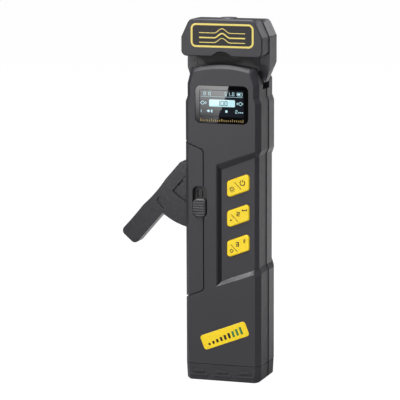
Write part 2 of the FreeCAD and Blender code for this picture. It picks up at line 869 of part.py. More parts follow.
def make_head_frame():
    """Rear hook: rear half of the head, neck behind the slot, curled lips at the slot's ends and foot."""
    low_back_y = front_y + hook_neck_low_back
    foot_top = hook_foot_z + hook_foot_height
    foot_back_y = inner_back_y - touch
    side_view = [(slot_back_y, roof_z(slot_back_y)), (head_back_y, roof_z(head_back_y)),
                 (head_back_y, hook_step_z),
                 (neck_back_y, hook_step_z - hook_step_slope), (low_back_y, hook_flare_z + hook_neck_rise),
                 (low_back_y, foot_top), (foot_back_y, foot_top), (foot_back_y, hook_foot_z),
                 (slot_back_y, hook_foot_z)]
    side_rounds = [0, head_back_round, hook_step_round, hook_neck_round, hook_low_round, 0, 0, 0, 0]
    profile = plate_x(side_view, side_rounds, -frame_half, frame_half)
    lip_half = upper_half + hook_lip_over
    right = [(hook_neck_half, hook_foot_z), (hook_neck_half, hook_flare_z), (lip_half, hook_flare_z),
             (frame_half, hook_flank_z), (frame_half, height - head_corner_z),
             (frame_half - head_corner_x, height)]
    left = [(-x, z) for x, z in reversed(right)]
    rounds = [0, 0, 0, hook_flare_round, head_side_round, head_top_round]
    front_view = plate_y(right + left, rounds + rounds[::-1], slot_back_y - past, head_back_y + past)
    frame = profile.common(front_view)
    lip_front = front_y + notch_front_depth + running
    curl = slot_back_y - lip_front
    lip_top = hook_flare_z + curl + hook_lip_thick
    for side in (-1, 1):
        x_range = sorted((side * slot_half, side * lip_half))
        lip = block(x_range, (lip_front, slot_back_y), (hook_flare_z, lip_top))
        scoop = rod(point(x_range[0], lip_front, lip_top), curl, x_range[1] - x_range[0], point(1, 0, 0))
        frame = frame.fuse(lip.cut(scoop))
    pocket_back = head_back_y - head_rear_wall
    pocket = head_outline(head_rear_side, head_bottom_z + head_rear_sill)
    frame = frame.cut(plate_y(pocket, [0] * 6, slot_back_y, pocket_back))
    frame = frame.cut(lens_bore(touch)).cut(liner_plate(liner_side_gap, touch))
    for side in (-1, 1):
        x = side * head_screw_x
        frame = frame.fuse(rod_y(x, head_screw_z, rear_boss_radius, slot_back_y, pocket_back + touch))
        frame = frame.cut(counterbore(x, head_screw_z, slot_back_y, head_back_y))
    return frame.removeSplitter()


def liner_plate(side_gap, grow):
    """Plate set flush in the back wall of the fibre slot, grown at its sides and all round."""
    half = hook_neck_half + liner_over + side_gap
    return block((-half, half), (slot_back_y - grow, slot_back_y + liner_thick + grow),
                 (hook_flare_z + liner_foot - grow, head_bottom_z + liner_top + grow))


def make_slot_liner():
    """Slot liner without clearance, its face level with the slot's back wall."""
    return liner_plate(0, 0)


def make_jaw_block():
    """Upper jaw: notched block in the head's open underside, bored for the two detectors."""
    y_range = (front_y + head_wall + touch, slot_back_y - touch)
    jaw = bell_plate(hook_neck_half, head_bottom_z + jaw_inset, head_bottom_z + jaw_height,
                     bell_half, bell_rise, y_range)
    for side in (-1, 1):
        x = side * detector_x
        jaw = jaw.cut(rod_z(x, detector_y, detector_rim_radius + touch, head_bottom_z + jaw_floor, height))
        jaw = jaw.cut(rod_z(x, detector_y, detector_window_radius, head_bottom_z - past, height))
    return jaw


def make_detector(side):
    """Round photodiode can with a rim."""
    x = side * detector_x
    rim_z = head_bottom_z + jaw_height - detector_rim
    can = rod_z(x, detector_y, detector_radius, head_bottom_z + jaw_floor + 2 * touch, rim_z)
    rim = rod_z(x, detector_y, detector_rim_radius, rim_z, rim_z + detector_rim)
    return can.fuse(rim).removeSplitter()


def make_head_board():
    """Board that carries the detectors, above the upper jaw."""
    z_low = head_bottom_z + jaw_height + touch
    z_top = z_low + board_thick
    y_range = (front_y + head_wall + head_board_gap, slot_back_y - head_board_gap)
    board = block((-head_board_half, head_board_half), y_range, (z_low, z_top))
    chip_y = front_y + head_chip_depth
    chip = block(span(0, head_chip[0]), (chip_y, chip_y + head_chip[1]), (z_top, z_top + head_chip[2]))
    return board.fuse(chip)


def make_lamp_lens():
    """Low lens with a skirt in the head's top, hollow below for the lamp."""
    flange = rod_z(0, lens_y, lens_diameter / 2, lens_seat_z, lens_seat_z + lens_proud)
    rims = [edge for edge in round_edges(flange) if edge.BoundBox.ZMin > lens_seat_z + same_plane]
    flange = flange.makeChamfer(lens_edge, rims)
    skirt_z = lens_seat_z - lens_skirt
    skirt = rod_z(0, lens_y, lens_diameter / 2 - lens_flange, skirt_z, lens_seat_z)
    room = rod_z(0, lens_y, lamp_radius + lamp_room, skirt_z - past, lens_seat_z - lens_roof)
    return flange.fuse(skirt).cut(room).removeSplitter()


def make_lamp_led():
    """Round lamp with a bevelled end inside the lens, on a wider rim."""
    base_z = lens_seat_z - lamp_low
    stem = rod_z(0, lens_y, lamp_radius, base_z, lens_seat_z - lens_roof - lamp_top_gap)
    rims = [edge for edge in round_edges(stem) if edge.BoundBox.ZMin > base_z + same_plane]
    stem = stem.makeChamfer(lamp_edge, rims)
    rim = rod_z(0, lens_y, lamp_radius + lamp_rim_over, base_z, base_z + lamp_rim)
    return stem.fuse(rim).removeSplitter()


def involute_flank(roll_turns, base):
    """Point of an involute: base circle radius and roll angle, as radius and polar angle."""
    radius = base * sqrt(1 + roll_turns * roll_turns)
    return radius, roll_turns - atan2(roll_turns, 1)


def gear_tooth(index):
    """One tooth of the trigger's gear sector, in the open position: involute flanks as arcs."""
    base = gear_radius * cos(gear_pressure)
    pitch_angle = involute_flank(tan(gear_pressure), base)[1]
    half_tooth = (gear_spacing / 2 - gear_backlash) / 2 / gear_radius
    tip_radius = gear_radius + gear_module * gear_addendum
    tip_roll = sqrt((tip_radius / base) ** 2 - 1)
    root_radius = gear_radius - gear_module * gear_root - tooth_sink
    turn = (index - (gear_teeth - 1) / 2) * gear_spacing / gear_radius - radians(trigger_swing) / 2

    def place(radius, angle):
        return point(pivot_x + radius * cos(turn + angle), gear_y[0], pivot_z + radius * sin(turn + angle))

    flank = [involute_flank(tip_roll * share, base) for share in (0, flank_middle, 1)]
    upper = [place(radius, half_tooth + pitch_angle - angle) for radius, angle in flank]
    lower = [place(radius, -half_tooth - pitch_angle + angle) for radius, angle in flank]
    foot_angle = half_tooth + pitch_angle + tooth_spread
    foot = [place(root_radius, side * foot_angle) for side in (1, -1)]
    edges = [line(foot[0], upper[0]), arc(upper[0], upper[1], upper[2]), line(upper[2], lower[2]),
             arc(lower[2], lower[1], lower[0]), line(lower[0], foot[1]), line(foot[1], foot[0])]
    return Part.Face(Part.Wire(edges)).extrude(point(0, gear_y[1] - gear_y[0], 0))


def trigger_handle():
    """Closed handle: long plate with finger scallops, a fan web below the pin and a hub."""
    outer_x = pivot_x - trigger_outer
    inner_x = outer_x + trigger_width
    tip_z = pivot_z - trigger_length
    top_z = pivot_z - trigger_top
    radii = [trigger_tip_round, trigger_tip_round, 0, trigger_top_round]
    handle = plate_y(rectangle((outer_x, inner_x), (tip_z, top_z)), radii, trigger_front_y, trigger_back_y)
    for rise, length, depth in scallops:
        bow = (length * length / 4 + depth * depth) / (2 * depth)
        handle = handle.cut(rod_y(outer_x - bow + depth, tip_z + rise + length / 2, bow,
                                  trigger_front_y - past, trigger_back_y + past))
    reach = 2 * web_radius
    spread = radians(web_angle)
    wedge = [(outer_x + web_overlap, top_z), (outer_x + web_overlap, pivot_z - reach),
             (pivot_x + reach * sin(spread), pivot_z - reach * cos(spread)), (pivot_x + past, pivot_z)]
    web = rod_y(pivot_x, pivot_z, web_radius, trigger_front_y, trigger_back_y)
    web = web.common(plate_y(wedge, [0] * 4, trigger_front_y, trigger_back_y))
    hub = rod_y(pivot_x, pivot_z, hub_radius, trigger_front_y, trigger_back_y)
    return handle.fuse(web).fuse(hub)


def web_steps():
    """Cuts in both faces of the web: a sunk field near the hub and a short engraved corner outside it."""
    outer_x = pivot_x - trigger_outer
    mark_x = outer_x + web_mark_edge
    mark_z = pivot_z - sqrt(web_mark_radius ** 2 - (mark_x - pivot_x) ** 2)
    steps = []
    for y_range in ((trigger_front_y - past, trigger_front_y + web_step),
                    (trigger_back_y - web_step, trigger_back_y + past)):
        keep = block((outer_x + web_step_edge, pivot_x + web_radius), y_range,
                     (pivot_z - web_radius, pivot_z - trigger_top))
        steps.append(rod_y(pivot_x, pivot_z, web_step_radius, y_range[0], y_range[1]).common(keep))
    for y_range in ((trigger_front_y - past, trigger_front_y + web_mark),
                    (trigger_back_y - web_mark, trigger_back_y + past)):
        mark = rod_y(pivot_x, pivot_z, web_mark_radius, y_range[0], y_range[1])
        mark = mark.common(block((mark_x, mark_x + web_mark_run), y_range,
                                 (pivot_z - web_radius, mark_z + web_mark_leg)))
        inside = rod_y(pivot_x, pivot_z, web_mark_radius - web_mark_width, y_range[0], y_range[1])
        steps.append(mark.cut(inside.common(block((mark_x + web_mark_width, pivot_x + web_radius), y_range,
                                                  (pivot_z - web_radius, pivot_z)))))
    return steps


def make_trigger_lever():
    """Squeeze handle with its stepped fan web, hub and gear sector, turned to its open rest."""
    lever = trigger_handle()
    for step in web_steps():
        lever = lever.cut(step)
    lever = lever.removeSplitter()
    lever.rotate(point(pivot_x, 0, pivot_z), point(0, 1, 0), trigger_swing)
    sector = rod_y(pivot_x, pivot_z, gear_radius - gear_module * gear_root, gear_y[0], gear_y[1])
    sector = sector.common(block((pivot_x + sector_left, pivot_x + gear_radius), gear_y,
                                 (pivot_z - sector_low, pivot_z + sector_high)))
    lever = lever.fuse(sector)
    for index in range(gear_teeth):
        lever = lever.fuse(gear_tooth(index))
    bore = pin_diameter / 2 + pin_fit
    lever = lever.cut(rod_y(pivot_x, pivot_z, bore, trigger_front_y - past, trigger_back_y + past))
    return lever.removeSplitter()


def make_trigger_pin():
    """Steel pin with bevelled ends."""
    pin = rod_y(pivot_x, pivot_z, pin_diameter / 2, inner_front_y + touch, inner_back_y - touch)
    return pin.makeChamfer(pin_edge, round_edges(pin))


def make_trigger_spring():
    """Torsion spring round the rear pin boss: close turns as one ridged sleeve, and two straight legs."""
    half_wire = spring_wire / 2
    radius = pin_diameter / 2 + pin_boss_wall + running + half_wire
    y_low = trigger_back_y + spring_gap
    dip = half_wire * spring_dip_share
    section = [(y_low, radius - half_wire), (y_low, radius + dip)]
    for turn in range(spring_turns):
        y = y_low + turn * spring_wire
        section += [(y + half_wire, radius + half_wire), (y + spring_wire, radius + dip)]
    section.append((y_low + spring_turns * spring_wire, radius - half_wire))
    ring = [point(pivot_x + r, y, pivot_z) for y, r in section]
    face = Part.Face(Part.makePolygon(ring + ring[:1]))
    coil = face.revolve(point(pivot_x, 0, pivot_z), point(0, 1, 0), 360)
    for side, y in ((-1, y_low + half_wire), (1, y_low + spring_turns * spring_wire - half_wire)):
        start = point(pivot_x + side * radius, y, pivot_z)
        coil = coil.fuse(rod(start, half_wire * spring_leg_share, spring_leg, point(0, 0, -1)))
    return coil.removeSplitter()


def rack_tooth_z(index):
    """Height of a rack tooth at rest, counted from the top: half a pitch off the sector's teeth."""
    return pivot_z + gear_spacing * (gear_teeth / 2 - index) - lift_travel / 2


def tongue_box(grow):
    """Tongue on the bar's top, or its socket grown by a clearance."""
    half = tongue_half + grow
    inset = tongue_in - grow
    return block((tongue_x - half, tongue_x + half), (bar_front_y + inset, bar_back_y - inset),
                 (anvil_base_z - grow, anvil_base_z + tongue_height + grow))


def make_lift_rack():
    """Toothed bar that the gear sector lifts, with a tongue for the anvil."""
    bar = block((rack_root_x, rack_root_x + bar_width), (bar_front_y, bar_back_y), (bar_low_z, anvil_base_z))
    half_tooth = (gear_spacing / 2 - gear_backlash) / 2
    lean = tan(gear_pressure)
    tip = gear_module * gear_addendum
    root = gear_module * gear_dedendum + tooth_sink
    tip_half = half_tooth - tip * lean
    root_half = half_tooth + root * lean
    for index in range(rack_teeth):
        z = rack_tooth_z(index)
        tooth = [(pitch_line_x + root, z - root_half), (pitch_line_x - tip, z - tip_half),
                 (pitch_line_x - tip, z + tip_half), (pitch_line_x + root, z + root_half)]
        bar = bar.fuse(plate_y(tooth, [0] * 4, bar_front_y, bar_back_y))
    return bar.fuse(tongue_box(0)).removeSplitter()


def make_anvil():
    """Lower jaw: plate with a bell bump on top and a socket for the bar's tongue."""
    plate = bell_plate(hook_neck_half, anvil_top_z, anvil_base_z, bell_half - bump_in, bell_rise - bump_down,
                       (bar_front_y, bar_back_y))
    return plate.cut(tongue_box(tongue_fit))


def make_rack_guide():
    """Block on the rear half that the bar slides in."""
    right = rack_root_x + bar_width
    z_range = (rack_tooth_z(0) + lift_travel + gear_spacing / 2, hook_foot_z - guide_gap)
    guide = block((rack_root_x - guide_wall, right + guide_wall),
                  (bar_front_y - guide_front, inner_back_y), z_range)
    passage = block((rack_root_x - slide_fit, right + slide_fit),
                    (bar_front_y - slide_fit, bar_back_y + slide_fit),
                    (z_range[0] - past, z_range[1] + past))
    return guide.cut(passage)


def make_lock_slider():
    """Thumb slider: ribbed knob on a plate that keeps the slot covered all the way."""
    knob_x = (lock_slot_x[0] + running, lock_slot_x[1] - lock_knob_right)
    knob_low = lock_slot_low + running
    top_y = front_y - lock_proud
    plate_front = inner_front_y + touch
    left_round = lock_slot_round - lock_corner_fit
    radii = [left_round, lock_knob_round, lock_knob_round, left_round]
    knob = plate_y(rectangle(knob_x, (knob_low, knob_low + lock_knob_height)), radii, top_y, plate_front)
    knob = knob.makeChamfer(lock_knob_edge, front_edges(knob, top_y))
    middle = knob_low + lock_knob_height / 2
    for index in range(lock_ribs):
        z = middle + (index - (lock_ribs - 1) / 2) * lock_rib_pitch
        groove = [(top_y - touch, z - lock_rib_half), (top_y + lock_rib_depth, z),
                  (top_y - touch, z + lock_rib_half)]
        knob = knob.cut(plate_x(groove, [0] * 3, knob_x[0] - past, knob_x[1] + past))
    plate = block((lock_slot_x[0] - lock_plate_margin, lock_slot_x[1] + lock_plate_margin),
                  (plate_front, plate_front + lock_plate_thick),
                  (lock_slot_low - lock_plate_margin - lock_travel, lock_slot_high + lock_plate_margin))
    knob_high = knob_low + lock_knob_height
    for x in lock_marks:
        mark_x = span(lock_slot_x[0] + x, lock_mark_width)
        plate = plate.cut(block(mark_x, (plate_front - past, plate_front + lock_mark_depth),
                                (knob_high + lock_mark_rise[0], knob_high + lock_mark_rise[1])))
    return knob.fuse(plate).removeSplitter()


def make_key(index):
    """Slanted key with a softened face and a flange behind the wall."""
    z = key_height_z(index)
    face_y = floor_y - key_proud
    flange_y = inner_front_y + touch
    key = plate_y(key_outline(0, z), [key_round] * 4, face_y, flange_y)
    key = key.makeChamfer(key_edge, front_edges(key, face_y))
    flange_rounds = [key_round + key_flange] * 4
    flange = plate_y(key_outline(key_flange, z), flange_rounds, flange_y, flange_y + key_flange_thick)
    return key.fuse(flange).removeSplitter()


def make_key_mat():
    """Rubber mat with a raised pad under each key."""
    base_y = mat_front_y + mat_pad
    z_range = (key_height_z(0) - mat_end, key_height_z(len(key_names) - 1) + mat_end)
    mat = block((key_x - mat_half, key_x + mat_half), (base_y, mat_front_y + mat_thick), z_range)
    for index in range(len(key_names)):
        mat = mat.fuse(plate_y(key_outline(-mat_pad_in, key_height_z(index)), [0] * 4, mat_front_y, base_y))
    return mat.removeSplitter()


def make_main_board():
    """Circuit board behind the mat, with a processor and a few parts."""
    front = mat_front_y + mat_thick
    back = front + board_thick
    board = block((board_left_x, inner_right_x - board_right_gap), (front, back),
                  (board_low_z, window_low - board_window_gap))
    for x, z, wide, tall, thick in board_parts:
        board = board.fuse(block(span(x, wide), (back, back + thick), span(z, tall)))
    return board


def make_display_window():
    """Window pane set flush in the front face."""
    half = window_half - touch
    outline = rectangle((-half, half), (window_low + touch, window_high - touch))
    pane = plate_y(outline, [window_round - touch] * 4, front_y, front_y + window_thick)
    return pane.makeChamfer(window_edge, front_edges(pane, front_y))


def make_display_module():
    """Display module against the inside of the front wall, with its lower tail."""
    y_low = inner_front_y + touch
    y_high = y_low + display_thick
    inset = window_ledge - display_over
    half = window_half - inset
    low = window_low + inset
    panel = block((-half, half), (y_low, y_high), (low, window_high - inset))
    tail = block((-display_tail_half, display_tail_half), (y_high - display_tail_thick, y_high),
                 (window_low - display_tail_length, low))
    return panel.fuse(tail).removeSplitter()


def make_battery_cell():
    """Round rechargeable cell standing in the rear half."""
    y = inner_back_y - running - cell_diameter / 2
    top = cell_low_z + cell_length
    can = rod_z(cell_x, y, cell_diameter / 2, cell_low_z, top - cell_button)
    can = can.makeChamfer(cell_edge, round_edges(can))
    return can.fuse(rod_z(cell_x, y, cell_button_radius, top - 2 * cell_button, top)).removeSplitter()


def make_laser_module():
    """Turned laser barrel with a collar."""
    z_low = tail_z[1]
    barrel = rod_z(laser_x, 0, laser_diameter / 2 - laser_neck, z_low, z_low + laser_length)
    collar = rod_z(laser_x, 0, laser_diameter / 2, z_low + laser_collar[0], z_low + laser_collar[1])
    bore = rod_z(laser_x, 0, port_bore / 2, z_low - past, z_low + laser_bore)
    return barrel.fuse(collar).cut(bore).removeSplitter()


def make_laser_port():
    """Ferrule sleeve in the tail, hidden by the cap."""
    z_low = cap_height - tail_rim + port_back
    sleeve = rod_z(laser_x, 0, port_diameter / 2, z_low, tail_z[1])
    return sleeve.cut(rod_z(laser_x, 0, port_bore / 2, z_low - past, tail_z[1] + past))


def socket_box(grow, z_range):
    """Rounded section of the charging socket, grown outwards by a distance."""
    half_x = socket_half_x + grow
    half_y = socket_half_y + grow
    box = block((socket_x - half_x, socket_x + half_x), (socket_y - half_y, socket_y + half_y), z_range)
    return box.makeFillet(socket_round + min(grow, 0), upright_edges(box))


def make_usb_socket():
    """Charging socket: rounded tube with a tongue."""
    low = cap_height + socket_reach[0]
    high = cap_height + socket_reach[1]
    tube = socket_box(0, (low, high)).cut(socket_box(-socket_wall, (low - past, high - socket_floor)))
    tongue = block(span(socket_x, socket_tongue_width), span(socket_y, socket_tongue_thick),
                   (low + socket_tongue_back, high - socket_floor / 2))
    return tube.fuse(tongue).removeSplitter()


def make_tail_block():
    """Plug that closes the case's foot, with a rim that the cap slides on."""
    plug = plate_z(inner_outline(-touch), tail_z[0], tail_z[1])
    rim_low = cap_height - tail_rim
    rim_in = touch + tail_rim_in
    rim = plate_z(inner_outline(-rim_in), rim_low, cap_height)
    hollow = plate_z(inner_outline(-rim_in - tail_rim_wall), rim_low - past, cap_height)
    through = (cap_height - past, tail_z[1] + past)
    tail = plug.fuse(rim.cut(hollow))
    tail = tail.cut(rod_z(laser_x, 0, port_diameter / 2 + touch / 2, through[0], through[1]))
    return tail.cut(socket_box(touch / 2, through)).removeSplitter()


def cap_half(right):
    """One half of the end cap from its right-hand outline corners, mirrored and tapered to the foot."""
    wires = []
    for shrink, z in ((cap_taper, 0), (0, cap_height - cap_seam)):
        side = []
        for x, y in right:
            inward = shrink if y < seam_y else -shrink
            side.append((x - shrink, y if y == seam_y else y + inward))
        corners = side + [(-x, y) for x, y in reversed(side)]
        wires.append(Part.makePolygon([point(x, y, z) for x, y in corners + corners[:1]]))
    half = Part.makeLoft(wires, True, True)
    foot = [edge for edge in half.Edges if edge.BoundBox.ZMax < same_plane
            and abs(edge.CenterOfMass.y - seam_y) > same_plane]
    return half.makeFillet(cap_foot_round, foot)


def make_end_cap():
    """Pull-off cap: tapered box with rounded foot and three groups of grip bars on its front and back."""
    front = cap_half([(half_width - edge_in, front_y), (half_width, front_y + edge_back),
                      (half_width, seam_y)])
    rear = cap_half([(rear_half, seam_y), (rear_half, back_y - rear_round),
                     (rear_half - rear_round, back_y)])
    outline = rectangle((-rear_half, rear_half), (0, cap_height))
    rounds = [cap_corner_round, cap_corner_round, 0, 0]
    cap = front.fuse(rear).common(plate_y(outline, rounds, front_y - past, back_y + past))
    cap = cap.cut(plate_z(inner_outline(cap_fit - touch - tail_rim_in), cap_floor, cap_height))
    faces = ((front_y - cap_bar_proud, front_y + cap_bar_root),
             (back_y - cap_bar_root, back_y + cap_bar_proud))
    for x in (-cap_bar_x, 0, cap_bar_x):
        for z, wide in cap_bars:
            for y_range in faces:
                cap = cap.fuse(block(span(x, wide), y_range, span(z, cap_bar_height)))
    return cap.removeSplitter()


def make_screw(x, z, tip_y, head_y):
    """Cross-recessed screw along Y, its head's face at head_y."""
    seat_y = head_y - screw_head_thick
    screw = rod_y(x, z, screw_diameter / 2 - touch, tip_y, seat_y)
    screw = screw.fuse(rod_y(x, z, screw_head / 2, seat_y, head_y))
    for wide, tall in ((cross_long, cross_wide), (cross_wide, cross_long)):
        screw = screw.cut(block(span(x, wide), (head_y - cross_deep, head_y + past), span(z, tall)))
    return screw


def make_case_screws():
    """Four screws that hold the halves of the case."""
    head_y = back_y - screw_bore_depth + screw_head_thick
    return Part.makeCompound([make_screw(x, z, seam_y - screw_reach, head_y) for x, z in screw_places()])


def make_head_screws():
    """Two screws that hold the halves of the head."""
    head_y = head_back_y - screw_bore_depth + screw_head_thick
    tip_y = slot_back_y - head_screw_reach
    places = [side * head_screw_x for side in (-1, 1)]
    return Part.makeCompound([make_screw(x, head_screw_z, tip_y, head_y) for x in places])


def build():
    """All sub-parts by name."""
    parts = {
        "front_shell": make_front_shell(),
        "rear_shell": make_rear_shell(),
        "side_panel": make_side_panel(),
        "head_frame": make_head_frame(),
        "head_cover": make_head_cover(),
        "slot_liner": make_slot_liner(),
        "jaw_block": make_jaw_block(),
        "detector_left": make_detector(-1),
        "detector_right": make_detector(1),
        "head_board": make_head_board(),
        "lamp_lens": make_lamp_lens(),
        "lamp_led": make_lamp_led(),
        "trigger_lever": make_trigger_lever(),
        "trigger_pin": make_trigger_pin(),
        "trigger_spring": make_trigger_spring(),
        "lift_rack": make_lift_rack(),
        "anvil": make_anvil(),
        "rack_guide": make_rack_guide(),
        "lock_slider": make_lock_slider(),
        "key_mat": make_key_mat(),
        "main_board": make_main_board(),
        "display_window": make_display_window(),
        "display_module": make_display_module(),
        "battery_cell": make_battery_cell(),
        "laser_module": make_laser_module(),
        "laser_port": make_laser_port(),
        "usb_socket": make_usb_socket(),
        "tail_block": make_tail_block(),
        "end_cap": make_end_cap(),
        "case_screws": make_case_screws(),
        "head_screws": make_head_screws(),
    }
    for index, name in enumerate(key_names):
        parts[name] = make_key(index)
    return parts


os.makedirs("parts", exist_ok=True)
for node, shape in build().items():
    print(node, len(shape.Solids), shape.isValid(), round(shape.Volume, 2))
    shape.exportStep("parts/" + node + ".step")
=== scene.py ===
"""Looks of a hand-held optical fibre identifier, laid out as an add-on and run as a script.

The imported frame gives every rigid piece. This file gives each one its finish, adds the printing,
the lit display and the sticker as thin surfaces, and sets up the studio.
"""

import bmesh
import bpy
import numpy as np
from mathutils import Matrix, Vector


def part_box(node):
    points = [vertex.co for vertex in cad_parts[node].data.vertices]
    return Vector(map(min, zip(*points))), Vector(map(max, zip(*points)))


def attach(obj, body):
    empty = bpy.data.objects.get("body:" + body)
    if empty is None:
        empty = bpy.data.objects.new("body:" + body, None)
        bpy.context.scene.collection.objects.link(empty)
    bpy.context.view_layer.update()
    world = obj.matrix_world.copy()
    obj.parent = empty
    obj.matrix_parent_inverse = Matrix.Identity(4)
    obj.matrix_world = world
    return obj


bl_info = {
    "name": "Fibre identifier finish",
    "version": (1, 0, 0),
    "blender": (4, 5, 0),
    "location": "3D View > Sidebar > Identifier",
    "description": "Finishes, printing, display and studio of a hand-held fibre identifier",
    "category": "Object",
}

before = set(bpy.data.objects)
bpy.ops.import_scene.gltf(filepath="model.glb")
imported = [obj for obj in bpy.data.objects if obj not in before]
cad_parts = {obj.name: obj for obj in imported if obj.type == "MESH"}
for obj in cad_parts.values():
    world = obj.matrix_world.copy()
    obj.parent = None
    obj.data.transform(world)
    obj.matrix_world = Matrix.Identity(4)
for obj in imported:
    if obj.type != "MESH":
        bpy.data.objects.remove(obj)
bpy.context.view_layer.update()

MM = 0.001

# Front of each piece that carries print or paint
FRONT_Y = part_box("front_shell")[0][1]
HEAD_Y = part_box("head_cover")[0][1]
KEY_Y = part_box("key_top")[0][1]
WINDOW_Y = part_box("display_window")[0][1]
TRIGGER_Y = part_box("trigger_lever")[0][1]

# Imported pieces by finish
FRONT_NODES = ("front_shell", "side_panel", "head_cover", "end_cap")
REAR_NODES = ("rear_shell", "head_frame")
SLOT_NODES = ("slot_liner", "jaw_block", "anvil", "lift_rack", "rack_guide", "tail_block")
SCREW_NODES = ("case_screws", "head_screws")
PLATED_NODES = ("detector_left", "detector_right", "laser_port", "usb_socket")
BOARD_NODES = ("main_board", "head_board")
KEY_NODES = ("key_top", "key_middle", "key_bottom")
KEY_BODIES = ("top_key", "middle_key", "bottom_key")

# Key recess: left and right end, lower and upper edge at RECESS_MID_X, rise of both edges to the right,
# height over which it has no wall, and depth
RECESS_X = (-0.00035, 0.01900)
RECESS_Z = (0.05970, 0.12140)
RECESS_MID_X = 0.00900
RECESS_RISE = 0.38787
RECESS_TOP_Z = 0.1320
RECESS_DEPTH = 1.25 * MM

# Painted shade on the recess walls: shares of the depth where it sets in and where it ends, how far the left
# wall flares out, width of a blend, and the upper wall's share
SHADE_START = (0.005, 0.38)
SHADE_END = (0.99, 0.90)
WALL_FLARE = 3.0 * MM
WALL_BLEND = 0.1 * MM
UPPER_SHARE = 0.36

# Range in which nearly all of a noise lies
NOISE_RANGE = (0.25, 0.75)

# Polished dark glass and the dots behind it: light of every second dot, and their pitch
GLASS_BLACK = (0.003, 0.003, 0.0035)
GLASS_GLOSS = 0.07
DOT_DIP = 0.90
DOT_PITCH = 0.0002

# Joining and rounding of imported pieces, merging of new ones, and the least cosine of a mitre
WELD_REACH = 0.000004
BEVEL_ANGLE = np.radians(32.0)
BEVEL_SEGMENTS = 2
MERGE_REACH = 1e-8
MITRE_LIMIT = 0.5

# Slant of the keys and of the sticker
SLANT = np.radians(21.2)

# Trigger: pivot, swing and two engraved corners in millimetres, each an arc's radius, its left end, the leg
# above that end, the arc's run to the right, the painted shade line's width and its depth
TRIGGER_PIVOT = np.array((-14.0, 120.0)) * MM
TRIGGER_SWING = np.radians(41.2)
TRIGGER_CORNERS = ((34.7, -5.6, 2.6, 5.6, 0.5, 0.35), (23.7, -2.25, 8.6, 9.0, 0.6, 0.6))

# Numerals: ends of each stroke in a box of size 1, and the strokes of each numeral
SEGMENTS = {"a": ((0, 1), (1, 1)), "b": ((1, 1), (1, 0.5)), "c": ((1, 0.5), (1, 0)), "d": ((0, 0), (1, 0)),
            "e": ((0, 0), (0, 0.5)), "f": ((0, 0.5), (0, 1)), "g": ((0, 0.5), (1, 0.5))}
DIGITS = {"0": "abcdef", "1": "bc", "2": "abged", "3": "abgcd", "5": "afgcd"}

# Lights: name, place, aimed point, width and height, turn about the aim, and the setting of the power
SOFTBOXES = (
    ("key softbox", (-0.02, -1.15, 0.48), (0.0, 0.0, 0.12), (1.0, 0.7), 0.0, "key_power"),
    ("top softbox", (-0.08, -0.20, 1.0), (0.0, 0.0, 0.1), (0.7, 0.7), 0.0, "top_power"),
    ("rim softbox", (0.4, 1.3, 0.50), (0.0, 0.0, 0.15), (0.8, 0.4), 0.0, "rim_power"),
)
WINDOW_CARD = ("window card", (-0.2698, -0.72, 0.069), (-0.2698, 0.0, 0.069), (0.08, 0.06),
               np.radians(-18.2), "glare_power")
WALL_CARD = ("wall card", (-0.494, -0.621, 0.490), (0.0095, -0.0137, 0.058), (0.10, 0.10), 0.0, "wall_power")

# Window card: heights between which it brightens, and its share of light below them
FADE_HEIGHTS = (0.25, 0.80)
FADE_LOW = 0.06

# Floor: half its side, cells along a side, white light where it is seen, the share of that light, the runs
# behind and beside the object over which mirrors begin to show it, and the most that they show
FLOOR_REACH = 4.0
FLOOR_CELLS = 8
FLOOR_LIGHT = 1.305
FLOOR_SHARE = 0.75
MIRROR_Y = (-0.05, 0.34)
MIRROR_X = (-0.40, -0.14)
MIRROR_MOST = 0.80

# Light of the surroundings where they are seen, and the camera's sensor in millimetres
SKY_LIGHT = 1.1
SENSOR_WIDTH = 36.0


def colour_setting(name, description, default):
    """Colour property with the usual limits."""
    return bpy.props.FloatVectorProperty(name=name, description=description, subtype="COLOR", size=3,
                                         default=default, min=0.0, max=1.0)


def length_setting(name, description, default):
    """Length property in metres."""
    return bpy.props.FloatProperty(name=name, description=description, default=default, min=0.0,
                                   unit="LENGTH", precision=5)


def share_setting(name, description, default):
    """Factor property from 0 to 1."""
    return bpy.props.FloatProperty(name=name, description=description, default=default, min=0.0, max=1.0,
                                   subtype="FACTOR")


def angle_setting(name, description, default):
    """Angle property in radians."""
    return bpy.props.FloatProperty(name=name, description=description, default=default, subtype="ANGLE")


def power_setting(name, description, default):
    """Light power property in watts."""
    return bpy.props.FloatProperty(name=name, description=description, default=default, min=0.0,
                                   unit="POWER")


